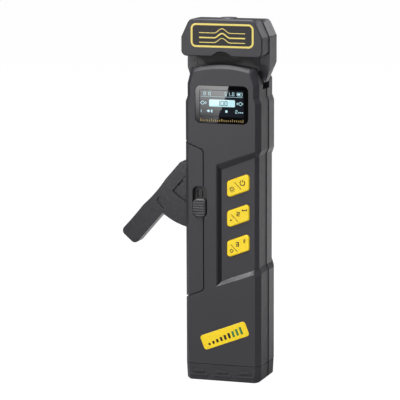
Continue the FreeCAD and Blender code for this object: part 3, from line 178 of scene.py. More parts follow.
class IdentifierFinish(bpy.types.PropertyGroup):
    """Colours and surface values of the moulded and printed pieces."""

    case_colour: colour_setting("Case", "Charcoal of the moulded case", (0.0518, 0.0500, 0.0588))
    rear_colour: colour_setting("Rear", "Lighter charcoal of the rear mouldings", (0.066, 0.064, 0.073))
    trigger_colour: colour_setting("Trigger", "Charcoal of the squeeze trigger", (0.0368, 0.0357, 0.0416))
    slider_colour: colour_setting("Slider", "Grey of the ribbed thumb slider", (0.070, 0.070, 0.073))
    slot_colour: colour_setting("Slot", "Dark grey of the pieces in the fibre slot", (0.054, 0.053, 0.057))
    key_colour: colour_setting("Keys", "Yellow of the keys", (0.97, 0.69, 0.012))
    print_colour: colour_setting("Head print", "Pale yellow of the printed lines", (0.80, 0.65, 0.17))
    gold_colour: colour_setting("Gold print", "Gold of the scale under the display", (0.62, 0.44, 0.15))
    label_colour: colour_setting("Head label", "Dark field inside the printed frame", (0.026, 0.024, 0.025))
    legend_colour: colour_setting("Legends", "Black of the signs on the keys", (0.020, 0.017, 0.010))
    # Painted shade: black of the lines laid in the trigger's engraved corners
    groove_shade_colour: colour_setting("Lines", "Black of the painted trigger lines", (0.004, 0.004, 0.004))
    sticker_colour: colour_setting("Sticker", "Yellow of the sticker", (0.97, 0.69, 0.020))
    sticker_green: colour_setting("Sticker green", "Green of the sticker's last bars", (0.07, 0.30, 0.09))
    # Painted shade of the key recess's left and upper walls, as a share of the case colour
    painted_recess_shade: share_setting("Recess walls", "Shade of the key recess's left and upper walls", 0.08)
    # Painted light: the bright yellows glow a little, though they are no lamp
    painted_glow_of_yellows: share_setting("Pigment glow", "Extra light of the bright yellows", 0.29)
    case_roughness: share_setting("Case roughness", "Roughness of the moulded case", 0.42)
    rear_roughness: share_setting("Rear roughness", "Roughness of the rear mouldings", 0.33)
    trigger_roughness: share_setting("Trigger roughness", "Roughness of the squeeze trigger", 0.27)
    grain_size: length_setting("Grain", "Size of the moulded grain", 0.00032)
    grain_depth: length_setting("Grain depth", "Depth of the moulded grain", 0.000012)
    edge_round: length_setting("Edge round", "Rounding of the moulded edges", 0.00012)


class IdentifierPrint(bpy.types.PropertyGroup):
    """Sizes of the printing and the sticker."""

    ink: length_setting("Ink", "Thickness of printed ink", 0.00004)
    head_frame_width: length_setting("Frame width", "Width of the frame on the head", 0.0346)
    head_frame_height: length_setting("Frame height", "Height of the frame on the head", 0.0119)
    head_frame_line: length_setting("Frame line", "Line width of the frame on the head", 0.0011)
    head_frame_round: length_setting("Frame corner", "Corner radius of the frame on the head", 0.0024)
    head_frame_z: length_setting("Frame place", "Height of the frame's centre", 0.1911)
    head_frame_x: length_setting("Frame shift", "Frame's centre to the right of the middle", 0.0004)
    sticker_width: length_setting("Sticker width", "Width of the sticker", 0.0276)
    sticker_height: length_setting("Sticker height", "Height of the sticker", 0.0084)
    sticker_x: length_setting("Sticker place", "Sticker's centre to the right of the middle", 0.00153)
    sticker_z: length_setting("Sticker level", "Height of the sticker's centre", 0.0259)
    sticker_turn: angle_setting("Sticker turn", "Slant of the sticker", SLANT)


class IdentifierStudio(bpy.types.PropertyGroup):
    """Camera and light."""

    camera_place: bpy.props.FloatVectorProperty(name="Camera", description="Place of the camera", size=3,
                                                default=(0.4072, -1.25978, 0.313), subtype="TRANSLATION")
    camera_aim: bpy.props.FloatVectorProperty(name="Aim", description="Point the lens faces", size=3,
                                              default=(0.0, 0.0, 0.1), subtype="TRANSLATION")
    camera_shift: bpy.props.FloatVectorProperty(name="Shift", description="Lens shift in shares of the width",
                                                size=2, default=(-0.0740, -0.0034))
    camera_roll: angle_setting("Roll", "Roll about the line of sight", np.radians(-0.10))
    lens: bpy.props.FloatProperty(name="Lens", description="Focal length in millimetres", default=219.2,
                                  min=1.0)
    floor_colour: colour_setting("Floor", "Grey that the floor has as a reflector", (0.35, 0.35, 0.35))
    ambient: share_setting("Ambient", "Light from all round", 0.07)
    key_power: power_setting("Key light", "Softbox at the front", 2.6)
    top_power: power_setting("Top light", "Softbox overhead", 14.0)
    rim_power: power_setting("Rim light", "Softbox at the back right", 1.6)
    wall_power: power_setting("Wall card", "Small card that the lower recess wall mirrors", 7.3)
    glare_power: power_setting("Window card", "Small bright card that the window reflects", 0.80)


class Nodes:
    """A node tree with helpers that add nodes to it and link them."""

    def __init__(self, tree):
        self.tree = tree

    def node(self, kind, **values):
        """New node with settings such as operation or data type."""
        made = self.tree.nodes.new(kind)
        for key, value in values.items():
            setattr(made, key, value)
        return made

    def link(self, source, target):
        """Joins an output to an input."""
        self.tree.links.new(source, target)

    def axes(self, place):
        """X, Y and Z of a place."""
        made = self.node("ShaderNodeSeparateXYZ")
        self.link(place, made.inputs["Vector"])
        return [made.outputs[name] for name in "XYZ"]

    def ramp(self, value, start, end, low=0.0, high=1.0):
        """Low at start, high at end and a straight run between."""
        made = self.node("ShaderNodeMapRange")
        made.inputs["From Min"].default_value = start
        made.inputs["From Max"].default_value = end
        made.inputs["To Min"].default_value = low
        made.inputs["To Max"].default_value = high
        self.link(value, made.inputs["Value"])
        return made.outputs["Result"]

    def math(self, operation, first, second):
        """Result of one operation on two values."""
        made = self.node("ShaderNodeMath", operation=operation)
        self.link(first, made.inputs[0])
        self.link(second, made.inputs[1])
        return made.outputs[0]

    def product(self, values):
        """Product of several values."""
        result = values[0]
        for value in values[1:]:
            result = self.math("MULTIPLY", result, value)
        return result

    def seen(self):
        """1 for rays from the camera and rays through glass, 0 for the rest."""
        rays = self.node("ShaderNodeLightPath").outputs
        return self.math("MAXIMUM", rays["Is Camera Ray"], rays["Is Transmission Ray"])


class Recipe(Nodes):
    """One material's node tree: a Principled surface and patterns on object coordinates."""

    def __init__(self, name):
        self.material = bpy.data.materials.new(name)
        self.material.use_nodes = True
        super().__init__(self.material.node_tree)
        self.shader = self.tree.nodes["Principled BSDF"]
        self.place = self.node("ShaderNodeTexCoord").outputs["Object"]

    def set(self, **values):
        """Constant values on the shader's own sockets, spaces written as underscores."""
        for key, value in values.items():
            socket = self.shader.inputs[key.replace("_", " ")]
            socket.default_value = (*value, 1.0) if key in ("Base_Color", "Emission_Color") else value

    def stretched(self, scale):
        """Object coordinates scaled by three factors."""
        mapping = self.node("ShaderNodeMapping")
        mapping.inputs["Scale"].default_value = scale
        self.link(self.place, mapping.inputs["Vector"])
        return mapping.outputs["Vector"]

    def noise(self, size, detail=2.0, stretch=(1.0, 1.0, 1.0)):
        """Noise whose features are about one size across, in metres."""
        made = self.node("ShaderNodeTexNoise")
        made.inputs["Scale"].default_value = 1.0 / size
        made.inputs["Detail"].default_value = detail
        self.link(self.stretched(stretch), made.inputs["Vector"])
        return made.outputs["Fac"]

    def shades(self, factor, colour, low, high):
        """Base colour between two shades of one colour, low at 0 and high at 1."""
        made = self.node("ShaderNodeMix", data_type="RGBA")
        made.inputs["A"].default_value = (*[c * low for c in colour], 1.0)
        made.inputs["B"].default_value = (*[min(c * high, 1.0) for c in colour], 1.0)
        self.link(factor, made.inputs["Factor"])
        self.link(made.outputs["Result"], self.shader.inputs["Base Color"])

    def tint(self, noise, colour, low, high):
        """Base colour that wanders between two shades of itself."""
        self.shades(self.ramp(noise, *NOISE_RANGE), colour, low, high)

    def roughen(self, noise, low, high):
        """Roughness that wanders from low to high."""
        self.link(self.ramp(noise, *NOISE_RANGE, low, high), self.shader.inputs["Roughness"])

    def bump(self, noise, depth):
        """Surface relief of one depth in metres."""
        made = self.node("ShaderNodeBump")
        made.inputs["Distance"].default_value = depth
        made.inputs["Strength"].default_value = 1.0
        self.link(noise, made.inputs["Height"])
        self.link(made.outputs["Normal"], self.shader.inputs["Normal"])

    def scuff(self, roughness):
        """Fine scuffs and faint relief of smooth plastic."""
        self.roughen(self.noise(size=0.0015, detail=4.0), low=roughness - 0.04, high=roughness + 0.06)
        self.bump(self.noise(size=0.0006), depth=0.000006)

    def painted_wall_shade_mask(self):
        """Mask of painted shade: 1 on the left wall of the key recess, less on its upper wall and 0
        elsewhere.
        """
        x, y, z = self.axes(self.place)
        lower_mitre = self.math("SUBTRACT", z, x)
        upper_mitre = self.math("ADD", z, x)
        left, right = RECESS_X
        low, high = (height + RECESS_RISE * (left - RECESS_MID_X) for height in RECESS_Z)
        return self.product([
            self.ramp(y, *(FRONT_Y + share * RECESS_DEPTH for share in SHADE_START)),
            self.ramp(y, *(FRONT_Y + share * RECESS_DEPTH for share in SHADE_END)),
            self.ramp(lower_mitre, low - left - WALL_BLEND, low - left + WALL_BLEND),
            self.ramp(upper_mitre, high + left - WALL_BLEND, high + left + WALL_BLEND, 1.0, UPPER_SHARE),
            self.ramp(x, left - WALL_FLARE - WALL_BLEND, left - WALL_FLARE),
            self.ramp(x, right, right - WALL_BLEND),
            self.ramp(z, RECESS_TOP_Z, RECESS_TOP_Z - WALL_BLEND)])

    def paint_shade(self, value, colour):
        """Painted shade: base colour that turns to a darker one where the value is 1."""
        made = self.node("ShaderNodeMix", data_type="RGBA")
        self.link(value, made.inputs["Factor"])
        self.link(self.shader.inputs["Base Color"].links[0].from_socket, made.inputs["A"])
        made.inputs["B"].default_value = (*colour, 1.0)
        self.link(made.outputs["Result"], self.shader.inputs["Base Color"])


def moulded_plastic(name, colour, roughness, grain_size, grain_depth, walls=1.0):
    """Moulded plastic: spark-eroded grain, faint flow shading and uneven gloss. With walls below 1, a painted
    shade turns the walls of the key recess to that share of the colour."""
    recipe = Recipe(name)
    recipe.tint(recipe.noise(size=0.03, detail=3.0), colour, low=0.95, high=1.05)
    recipe.roughen(recipe.noise(size=0.004, detail=3.0), low=roughness - 0.03, high=roughness + 0.04)
    recipe.bump(recipe.noise(grain_size), grain_depth)
    recipe.set(Specular_IOR_Level=0.36)
    if walls < 1.0:
        # Painted shade: the recess walls get a darker colour, standing in for the shade of steeper walls
        recipe.paint_shade(recipe.painted_wall_shade_mask(), [c * walls for c in colour])
    return recipe.material


def smooth_plastic(name, colour, roughness, glow=0.0):
    """Smooth plastic: faint shading, fine scuffs and, for bright pigments, a little painted glow."""
    recipe = Recipe(name)
    recipe.tint(recipe.noise(size=0.006), colour, low=0.94, high=1.06)
    recipe.scuff(roughness)
    recipe.set(Emission_Color=colour, Emission_Strength=glow)
    return recipe.material


def plastic_with_painted_depth_shade(name, colour, roughness, near_y, far_y, shade):
    """Smooth plastic with a painted shade that deepens with depth, from full colour at near_y to the shade at
    far_y.
    """
    recipe = Recipe(name)
    depth = recipe.axes(recipe.place)[1]
    recipe.shades(recipe.ramp(depth, near_y, far_y, 1.0, 0.0), colour, low=shade, high=1.0)
    recipe.scuff(roughness)
    return recipe.material


def printed_ink(name, colour, roughness, glow=0.0):
    """Printed ink: slightly uneven colour, a fine screen grain and, for bright pigments, a little painted
    glow.
    """
    recipe = Recipe(name)
    recipe.tint(recipe.noise(size=0.0012), colour, low=0.93, high=1.05)
    recipe.bump(recipe.noise(size=0.00015, detail=1.0), depth=0.000004)
    recipe.set(Roughness=roughness, Specular_IOR_Level=0.3, Emission_Color=colour, Emission_Strength=glow)
    return recipe.material


def worked_metal(name, colour, roughness, stretch):
    """Turned or drawn metal: fine lines along the way it was worked."""
    recipe = Recipe(name)
    lines = recipe.noise(size=0.0004, detail=3.0, stretch=stretch)
    recipe.tint(lines, colour, low=0.88, high=1.06)
    recipe.roughen(lines, low=roughness - 0.06, high=roughness + 0.08)
    recipe.bump(lines, depth=0.000008)
    recipe.set(Metallic=1.0)
    return recipe.material


def window_glass(name):
    """Dark window pane: polished, with faint smears."""
    recipe = Recipe(name)
    recipe.roughen(recipe.noise(size=0.012, detail=3.0), low=0.008, high=0.016)
    recipe.tint(recipe.noise(size=0.02), GLASS_BLACK, low=0.9, high=1.1)
    recipe.set(Specular_IOR_Level=GLASS_GLOSS)
    return recipe.material


def lit_dots(name, colour):
    """Lit display dots in rows and columns, every second one a little dimmer."""
    recipe = Recipe(name)
    dots = recipe.node("ShaderNodeTexChecker")
    dots.inputs["Color1"].default_value = (*colour, 1.0)
    dots.inputs["Color2"].default_value = (*[c * DOT_DIP for c in colour], 1.0)
    dots.inputs["Scale"].default_value = 1.0 / DOT_PITCH
    recipe.link(recipe.stretched((1.0, 0.0, 1.0)), dots.inputs["Vector"])
    recipe.link(dots.outputs["Color"], recipe.shader.inputs["Emission Color"])
    recipe.set(Base_Color=GLASS_BLACK, Roughness=0.012, Specular_IOR_Level=GLASS_GLOSS,
               Emission_Strength=1.0)
    return recipe.material


def cell_sleeve(name, colour):
    """Shrink sleeve of the cell: glossy film with drawn-in ripples."""
    recipe = Recipe(name)
    ripples = recipe.noise(size=0.004, stretch=(1.0, 1.0, 0.25))
    recipe.tint(ripples, colour, low=0.9, high=1.1)
    recipe.bump(ripples, depth=0.00004)
    recipe.set(Roughness=0.28)
    return recipe.material


def circuit_board(name, colour):
    """Solder mask with paler tracks that stand out a little."""
    recipe = Recipe(name)
    tracks = recipe.noise(size=0.0016, detail=1.0, stretch=(1.0, 0.0, 0.3))
    recipe.tint(tracks, colour, low=0.75, high=1.5)
    recipe.bump(tracks, depth=0.00002)
    recipe.set(Roughness=0.35)
    return recipe.material


def smoked_lens(name, colour):
    """Frosted smoke-grey lens over the head's lamp."""
    recipe = Recipe(name)
    recipe.tint(recipe.noise(size=0.004), colour, low=0.92, high=1.08)
    recipe.roughen(recipe.noise(size=0.001), low=0.22, high=0.32)
    recipe.set(Transmission_Weight=0.35, IOR=1.49)
    return recipe.material


def dress(nodes, material):
    """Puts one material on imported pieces."""
    for node in nodes:
        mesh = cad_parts[node].data
        mesh.materials.clear()
        mesh.materials.append(material)


def soften(node, width):
    """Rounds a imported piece's sharp edges: its loose facets are joined, then the sharp edges bevelled."""
    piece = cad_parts[node]
    weld = piece.modifiers.new("join facets", "WELD")
    weld.merge_threshold = WELD_REACH
    bevel = piece.modifiers.new("soft edges", "BEVEL")
    bevel.width = width
    bevel.segments = BEVEL_SEGMENTS
    bevel.limit_method = "ANGLE"
    bevel.angle_limit = BEVEL_ANGLE
    bevel.use_clamp_overlap = True
    bevel.harden_normals = True
    bevel.miter_outer = "MITER_ARC"


def turned(points, angle):
    """Points of the X-Z plane turned about the origin: x cos a - z sin a, x sin a + z cos a."""
    c, s = np.cos(angle), np.sin(angle)
    return points @ np.array([[c, s], [-s, c]])


def rounded_loop(width, height, radius, steps=7):
    """Rounded rectangle as a loop: in each quarter, corner + radius * (cos t, sin t)."""
    quarter = np.linspace(0.0, np.pi / 2, steps)
    angle = np.concatenate([quarter + k * np.pi / 2 for k in range(4)])
    side_x = np.repeat([1, -1, -1, 1], steps)
    side_z = np.repeat([1, 1, -1, -1], steps)
    x = side_x * (width / 2 - radius) + radius * np.cos(angle)
    z = side_z * (height / 2 - radius) + radius * np.sin(angle)
    return np.column_stack([x, z])


def arc_path(radius, start, end, steps=24):
    """Circle arc: radius * (cos t, sin t) from start to end."""
    t = np.linspace(start, end, steps)
    return radius * np.column_stack([np.cos(t), np.sin(t)])


def bell_path(half, rise, reach, steps=41):
    """Bell curve: rise * (1 + cos(pi x / half)) / 2 inside half, level outside it, from -reach to reach."""
    x = np.linspace(-reach, reach, steps)
    z = np.where(np.abs(x) < half, rise * (1 + np.cos(np.pi * x / half)) / 2, 0.0)
    return np.column_stack([x, z])


def grid_faces(rows, columns, closed):
    """Quads between neighbouring rows of a grid whose columns close round. A closed grid joins its last row
    to the first, and an open one gets a face over its first and its last row."""
    first = np.arange(rows if closed else rows - 1)
    a, b = np.meshgrid(first, np.arange(columns), indexing="ij")
    here = a * columns
    ahead = (a + 1) % rows * columns
    b_next = (b + 1) % columns
    faces = np.stack([here + b, ahead + b, ahead + b_next, here + b_next], -1).reshape(-1, 4).tolist()
    if not closed:
        faces.append(list(range(columns)))
        faces.append(list(range((rows - 1) * columns, rows * columns))[::-1])
    return faces


def raised(flat, rise):
    """Points of a grid: x and z from the flat drawing, the height above the surface between them."""
    return np.stack([flat[..., 0], np.broadcast_to(rise, flat.shape[:2]), flat[..., 1]], -1).reshape(-1, 3)


def ink_line(path, width, height, closed=False):
    """Line of ink along a path: across it the height is height * (1 - u^4), u from -1 to 1, flat below."""
    if closed:
        ahead = np.roll(path, -1, axis=0) - path
        behind = path - np.roll(path, 1, axis=0)
    else:
        steps = np.diff(path, axis=0)
        ahead = np.vstack([steps, steps[-1:]])
        behind = np.vstack([steps[:1], steps])
    ahead = ahead / np.linalg.norm(ahead, axis=1, keepdims=True)
    behind = behind / np.linalg.norm(behind, axis=1, keepdims=True)
    along = ahead + behind
    along = along / np.linalg.norm(along, axis=1, keepdims=True)
    stretch = 1.0 / np.maximum((along * ahead).sum(axis=1), MITRE_LIMIT)
    side = np.column_stack([-along[:, 1], along[:, 0]]) * stretch[:, None]
    u = np.array([-1.0, -0.9, -0.5, 0.0, 0.5, 0.9, 1.0])
    flat = path[:, None, :] + side[:, None, :] * (u * width / 2)[None, :, None]
    return raised(flat, height * (1 - u ** 4)), grid_faces(len(path), len(u), closed)


def ink_field(loop, height):
    """Filled shape: rings drawn from a loop towards its centre by s, at height * (1 - s^40), flat below."""
    s = np.array([1.0, 0.992, 0.97, 0.5])
    centre = loop.mean(axis=0)
    flat = centre + (loop - centre)[None, :, :] * s[:, None, None]
    return raised(flat, (height * (1 - s ** 40))[:, None]), grid_faces(len(s), len(loop), False)


def digit(sign, corner, width, height, line, ink):
    """Plain numeral of straight strokes in a box, each longer by half a line at both ends."""
    strokes = []
    for key in DIGITS[sign]:
        ends = np.array(SEGMENTS[key], dtype=float) * (width, height) + corner
        way = (ends[1] - ends[0]) / np.linalg.norm(ends[1] - ends[0]) * line / 2
        strokes.append(ink_line(np.vstack([ends[0] - way, ends[1] + way]), line, ink))
    return strokes


def moved(part, shift):
    """Part shifted in the X-Z plane."""
    points, faces = part
    return points + np.array([shift[0], 0.0, shift[1]]), faces


def lifted(part, height):
    """Part raised from the surface by a height, sunk where the height is negative."""
    points, faces = part
    return points + (0.0, height, 0.0), faces


def add_piece(name, parts, plane_y, material, body):
    """Joins parts, given as x, height above the surface and z, into one mesh on a front-facing plane."""
    points = []
    faces = []
    count = 0
    for part_points, part_faces in parts:
        points.append(np.column_stack([part_points[:, 0], plane_y - part_points[:, 1], part_points[:, 2]]))
        faces += [[index + count for index in face] for face in part_faces]
        count += len(part_points)
    mesh = bpy.data.meshes.new(name)
    mesh.from_pydata(np.vstack(points).tolist(), [], faces)
    shell = bmesh.new()
    shell.from_mesh(mesh)
    bmesh.ops.remove_doubles(shell, verts=shell.verts, dist=MERGE_REACH)
    bmesh.ops.recalc_face_normals(shell, faces=shell.faces)
    shell.to_mesh(mesh)
    shell.free()
    mesh.materials.append(material)
    piece = bpy.data.objects.new(name, mesh)
    bpy.context.scene.collection.objects.link(piece)
    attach(piece, body)


class IDENTIFIER_OT_case(bpy.types.Operator):
    """Moulded case, trigger and slider"""

    bl_idname = "identifier.case"
    bl_label = "Finish case"

    def execute(self, context):
        finish = context.scene.identifier_finish
        # The case's last value is the painted shade of the key recess walls
        for label, colour, roughness, nodes, walls in (
                ("case", finish.case_colour, finish.case_roughness, FRONT_NODES, finish.painted_recess_shade),
                ("rear", finish.rear_colour, finish.rear_roughness, REAR_NODES, 1.0),
                ("trigger", finish.trigger_colour, finish.trigger_roughness, ("trigger_lever",), 1.0)):
            dress(nodes, moulded_plastic(label + " plastic", colour, roughness, finish.grain_size,
                                         finish.grain_depth, walls))
            for node in nodes:
                soften(node, finish.edge_round)
        # The slider darkens deeper into the slot: painted shade
        dress(("lock_slider",), plastic_with_painted_depth_shade("slider plastic", finish.slider_colour, roughness=0.45,
                                             near_y=FRONT_Y, far_y=FRONT_Y + 2.4 * MM, shade=0.35))
        return {"FINISHED"}


class IDENTIFIER_OT_mechanism(bpy.types.Operator):
    """Slot, jaws, rack, fasteners and the pieces inside the case"""

    bl_idname = "identifier.mechanism"
    bl_label = "Finish mechanism"

    def execute(self, context):
        finish = context.scene.identifier_finish
        dress(SLOT_NODES, smooth_plastic("slot plastic", finish.slot_colour, roughness=0.5))
        for name, colour, roughness, stretch, nodes in (
                ("ground steel", (0.56, 0.56, 0.57), 0.30, (1.0, 0.05, 1.0), ("trigger_pin",)),
                ("spring steel", (0.50, 0.50, 0.51), 0.34, (1.0, 1.0, 0.1), ("trigger_spring",)),
                ("blackened screws", (0.09, 0.09, 0.10), 0.45, (1.0, 0.2, 1.0), SCREW_NODES),
                ("plated cans", (0.66, 0.65, 0.62), 0.25, (1.0, 1.0, 0.1), PLATED_NODES),
                ("turned brass", (0.72, 0.52, 0.22), 0.28, (0.1, 0.1, 1.0), ("laser_module",))):
            dress(nodes, worked_metal(name, colour, roughness, stretch))
        dress(BOARD_NODES, circuit_board("solder mask", (0.012, 0.10, 0.035)))
        dress(("battery_cell",), cell_sleeve("cell sleeve", (0.03, 0.09, 0.30)))
        for name, colour, roughness, node in (
                ("mat rubber", (0.10, 0.10, 0.10), 0.7, "key_mat"),
                ("display glass", (0.006, 0.007, 0.010), 0.2, "display_module"),
                ("lamp resin", (0.75, 0.76, 0.80), 0.2, "lamp_led")):
            dress((node,), smooth_plastic(name, colour, roughness))
        dress(("lamp_lens",), smoked_lens("smoked lens", (0.16, 0.15, 0.17)))
        return {"FINISHED"}


class IDENTIFIER_OT_trigger_lines(bpy.types.Operator):
    """Painted shade: dark lines laid in the trigger's two engraved corners"""

    bl_idname = "identifier.trigger_lines"
    bl_label = "Paint trigger lines"

    def execute(self, context):
        finish = context.scene.identifier_finish
        ink = context.scene.identifier_print.ink
        steps = 12
        parts = []
        for radius, left, leg, run, line, sunk in TRIGGER_CORNERS:
            x = np.linspace(left, left + run, steps)
            curve = np.column_stack([x, -np.sqrt(radius ** 2 - x ** 2)])
            path = np.vstack([curve[:1] + (0.0, leg), curve])
            corner = ink_line(turned(path, -TRIGGER_SWING) * MM + TRIGGER_PIVOT, line * MM, ink)
            parts.append(lifted(corner, -sunk * MM))
        # Painted shade in the trigger's engraved corners
        paint = printed_ink("line paint", finish.groove_shade_colour, roughness=0.7)
        add_piece("trigger_lines", parts, TRIGGER_Y, paint, "trigger")
        return {"FINISHED"}


class IDENTIFIER_OT_keys(bpy.types.Operator):
    """Yellow keys with their printed signs"""

    bl_idname = "identifier.keys"
    bl_label = "Finish keys"

    def execute(self, context):
        finish = context.scene.identifier_finish
        ink = context.scene.identifier_print.ink
        dress(KEY_NODES, smooth_plastic("key plastic", finish.key_colour, 0.4, finish.painted_glow_of_yellows))
        black = printed_ink("key ink", finish.legend_colour, roughness=0.5)
        slope = np.tan(SLANT)
        for node, body, marks in zip(KEY_NODES, KEY_BODIES, self.key_signs(ink)):
            low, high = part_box(node)
            x_mid = (low[0] + high[0]) / 2
            z_mid = (low[2] + high[2]) / 2
            parts = []
            for sign, (x, z) in marks:
                place = (x_mid + x * MM, z_mid + (z + x * slope) * MM)
                parts += [moved(part, place) for part in sign]
            add_piece("signs_" + node, parts, KEY_Y, black, body)
        return {"FINISHED"}

    @staticmethod
    def key_signs(ink):
        """For each key, its signs and their places from the key's centre, in millimetres along the slant."""
        line = 0.52 * MM
        thin = line * 0.8
        power = [ink_line(arc_path(1.35 * MM, np.radians(125), np.radians(415)), line, ink),
                 ink_line(np.array([[0, 0.3], [0, 1.75]]) * MM, line, ink)]
        slash = [ink_line(np.array([[-1.9, 1.9], [1.9, -1.9]]) * MM, 0.34 * MM, ink)]
        back_arrow = [ink_line(np.array([[1.2, 0.6], [1.2, -0.2], [-1.0, -0.2]]) * MM, line, ink),
                      ink_field(np.array([[-0.9, 0.5], [-1.7, -0.2], [-0.9, -0.9]]) * MM, ink)]
        up = ink_field(np.array([[-0.8, 0.2], [0.8, 0.2], [0.0, 1.3]]) * MM, ink)
        down = ink_field(np.array([[0.8, -0.2], [-0.8, -0.2], [0.0, -1.3]]) * MM, ink)
        ring = ink_line(arc_path(0.8 * MM, 0.0, 2 * np.pi)[:-1], thin, ink, True)
        ray = np.array([[1.2, 0.0], [1.75, 0.0]])
        rays = [ink_line(turned(ray, angle) * MM, thin, ink) for angle in np.arange(8) * np.pi / 4]
        corner = np.array((-0.6, -0.9)) * MM
        two, three = (digit(sign, corner, 1.2 * MM, 2.0 * MM, line, ink) for sign in "23")
        return (
            ((power, (2.6, 0.7)), (slash, (0.0, 0.0)), ([ring] + rays, (-3.3, -0.7))),
            ((two, (0.2, 0.9)), (back_arrow, (3.8, 1.9)), (slash, (-1.8, -0.6)), ([up], (-4.0, -1.6))),
            ((three, (-0.2, 0.9)), ([up, down], (3.7, 1.5)), (slash, (-2.2, -0.4)), ([ring], (-3.6, -1.5))),
        )


class IDENTIFIER_OT_head_print(bpy.types.Operator):
    """Printed frame on the head with a picture of a fibre between the jaws"""

    bl_idname = "identifier.head_print"
    bl_label = "Print head"

    def execute(self, context):
        sizes = context.scene.identifier_print
        finish = context.scene.identifier_finish
        loop = rounded_loop(sizes.head_frame_width, sizes.head_frame_height, sizes.head_frame_round)
        parts = [ink_line(loop, sizes.head_frame_line, sizes.ink, True)]
        bell = 2.4
        for level, line in ((2.6, 0.5), (0.0, 0.9), (-2.6, 0.5)):
            path = bell_path(half=4.5 * MM, rise=bell * MM, reach=13.0 * MM)
            parts.append(moved(ink_line(path, line * MM, sizes.ink), (0.0, (level - bell / 2) * MM)))
        place = (sizes.head_frame_x, sizes.head_frame_z)
        parts = [moved(part, place) for part in parts]
        field = moved(ink_field(loop, sizes.ink / 2), place)
        film = printed_ink("label film", finish.label_colour, roughness=0.4)
        add_piece("head_label", [field], HEAD_Y, film, "housing")
        ink = printed_ink("head ink", finish.print_colour, 0.45, finish.painted_glow_of_yellows)
        add_piece("head_print", parts, HEAD_Y, ink, "housing")
        return {"FINISHED"}


class IDENTIFIER_OT_display(bpy.types.Operator):
    """Window, lit display and the gold scale under it"""

    bl_idname = "identifier.display"
    bl_label = "Finish display"

    def execute(self, context):
        ink = context.scene.identifier_print.ink
        dress(("display_window",), window_glass("window glass"))
        low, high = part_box("display_window")
        x_mid = (low[0] + high[0]) / 2
        z_mid = (low[2] + high[2]) / 2
        line = 0.30 * MM
        thin = line * 0.8
        bold = line * 1.2

        def at(part, x, z):
            """Part at a place from the window's centre, in millimetres."""
            return moved(part, (x_mid + x * MM, z_mid + z * MM))

        def block(width, height, corner, x, z, thickness=ink):
            """Filled rounded rectangle at a place, all in millimetres but the thickness."""
            return at(ink_field(rounded_loop(width * MM, height * MM, corner * MM), thickness), x, z)

        def numeral(sign, width, height, stroke, x, z):
            """Numeral with its lower left corner at a place, all in millimetres but the stroke."""
            strokes = digit(sign, np.zeros(2), width * MM, height * MM, stroke, ink)
            return [at(part, x, z) for part in strokes]

        field = block(25.2, 14.5, 0.4, 0.0, 0.65, ink / 2)
        resting = lit_dots("resting dots", (0.009, 0.012, 0.017))
        add_piece("display_field", [field], WINDOW_Y, resting, "housing")
        pale = lit_dots("lit dots", (0.60, 0.92, 1.0))
        middle_row = 0.8
        box = block(15.0, 3.9, 0.6, 0.3, middle_row)
        add_piece("display_box", [box], WINDOW_Y, pale, "housing")

        rule_row = 4.3
        rule = ink_line(np.array([[-12.0, 0.0], [12.0, 0.0]]) * MM, 0.18 * MM, ink)
        marks = [at(rule, 0.0, rule_row)]
        diamond = np.array([[-1.3, 0.0], [0.0, 1.0], [1.3, 0.0], [0.0, -1.0]]) * MM
        hook = np.array([[-0.5, 0.7], [0.3, 0.0], [-0.5, -0.7]]) * MM
        for side in (-1, 1):
            marks.append(at(ink_line(diamond, line, ink, True), side * 10.8, middle_row))
            marks.append(at(ink_line(hook * (-side, 1.0), line, ink), side * 8.9, middle_row))
        upper_foot = 5.1
        upper_row = 5.9
        upper_numerals = (("1", -11.2), ("3", -9.9), ("1", -8.2), ("0", -7.2),
                          ("5", 1.9), ("1", 3.6), ("0", 6.2))
        for sign, x in upper_numerals:
            marks += numeral(sign, 0.9, 1.6, thin, x, upper_foot)
        marks.append(block(0.4, 0.4, 0.1, 5.4, upper_foot))
        cell_outline = rounded_loop(3.0 * MM, 1.6 * MM, 0.2 * MM)
        marks.append(at(ink_line(cell_outline, 0.25 * MM, ink, True), 10.3, upper_row))
        marks.append(block(1.6, 0.9, 0.1, 9.9, upper_row))
        lower_foot = -4.4
        lower_row = -3.6
        marks.append(at(ink_line(np.array([[0.0, 0.0], [0.0, 1.5]]) * MM, line, ink), -11.6, lower_foot))
        marks.append(at(ink_field(diamond * 0.8, ink), -7.4, lower_row))
        marks.append(block(0.8, 1.6, 0.1, -5.6, lower_row))
        marks.append(block(1.3, 1.3, 0.3, 2.8, lower_row))
        marks += numeral("2", 0.9, 1.6, thin, 8.0, lower_foot)
        dot_row = -4.0
        marks += [block(0.6, 0.6, 0.1, x, dot_row) for x in (9.9, 10.9, 11.9)]
        add_piece("display_marks", marks, WINDOW_Y, pale, "housing")

        number_foot = -0.4
        numbers = []
        for sign, x in (("1", -2.3), ("0", -0.3), ("0", 1.9)):
            numbers += [lifted(part, ink) for part in numeral(sign, 1.3, 2.4, bold, x, number_foot)]
        dark = lit_dots("dark dots", (0.03, 0.06, 0.08))
        add_piece("display_number", numbers, WINDOW_Y, dark, "housing")

        tick_count = 21
        tick_pitch = 1.2
        tick_shift = 0.2
        tick_row = -8.8
        ticks = []
        for index in range(tick_count):
            top = 1.0 if index % 5 == 0 else 0.5
            tick = ink_line(np.array([[0.0, -0.5], [0.0, top]]) * MM, 0.36 * MM, ink)
            ticks.append(at(tick, (index - tick_count // 2) * tick_pitch + tick_shift, tick_row))
        gold = printed_ink("gold ink", context.scene.identifier_finish.gold_colour, roughness=0.35)
        add_piece("window_scale", ticks, WINDOW_Y, gold, "housing")
        return {"FINISHED"}


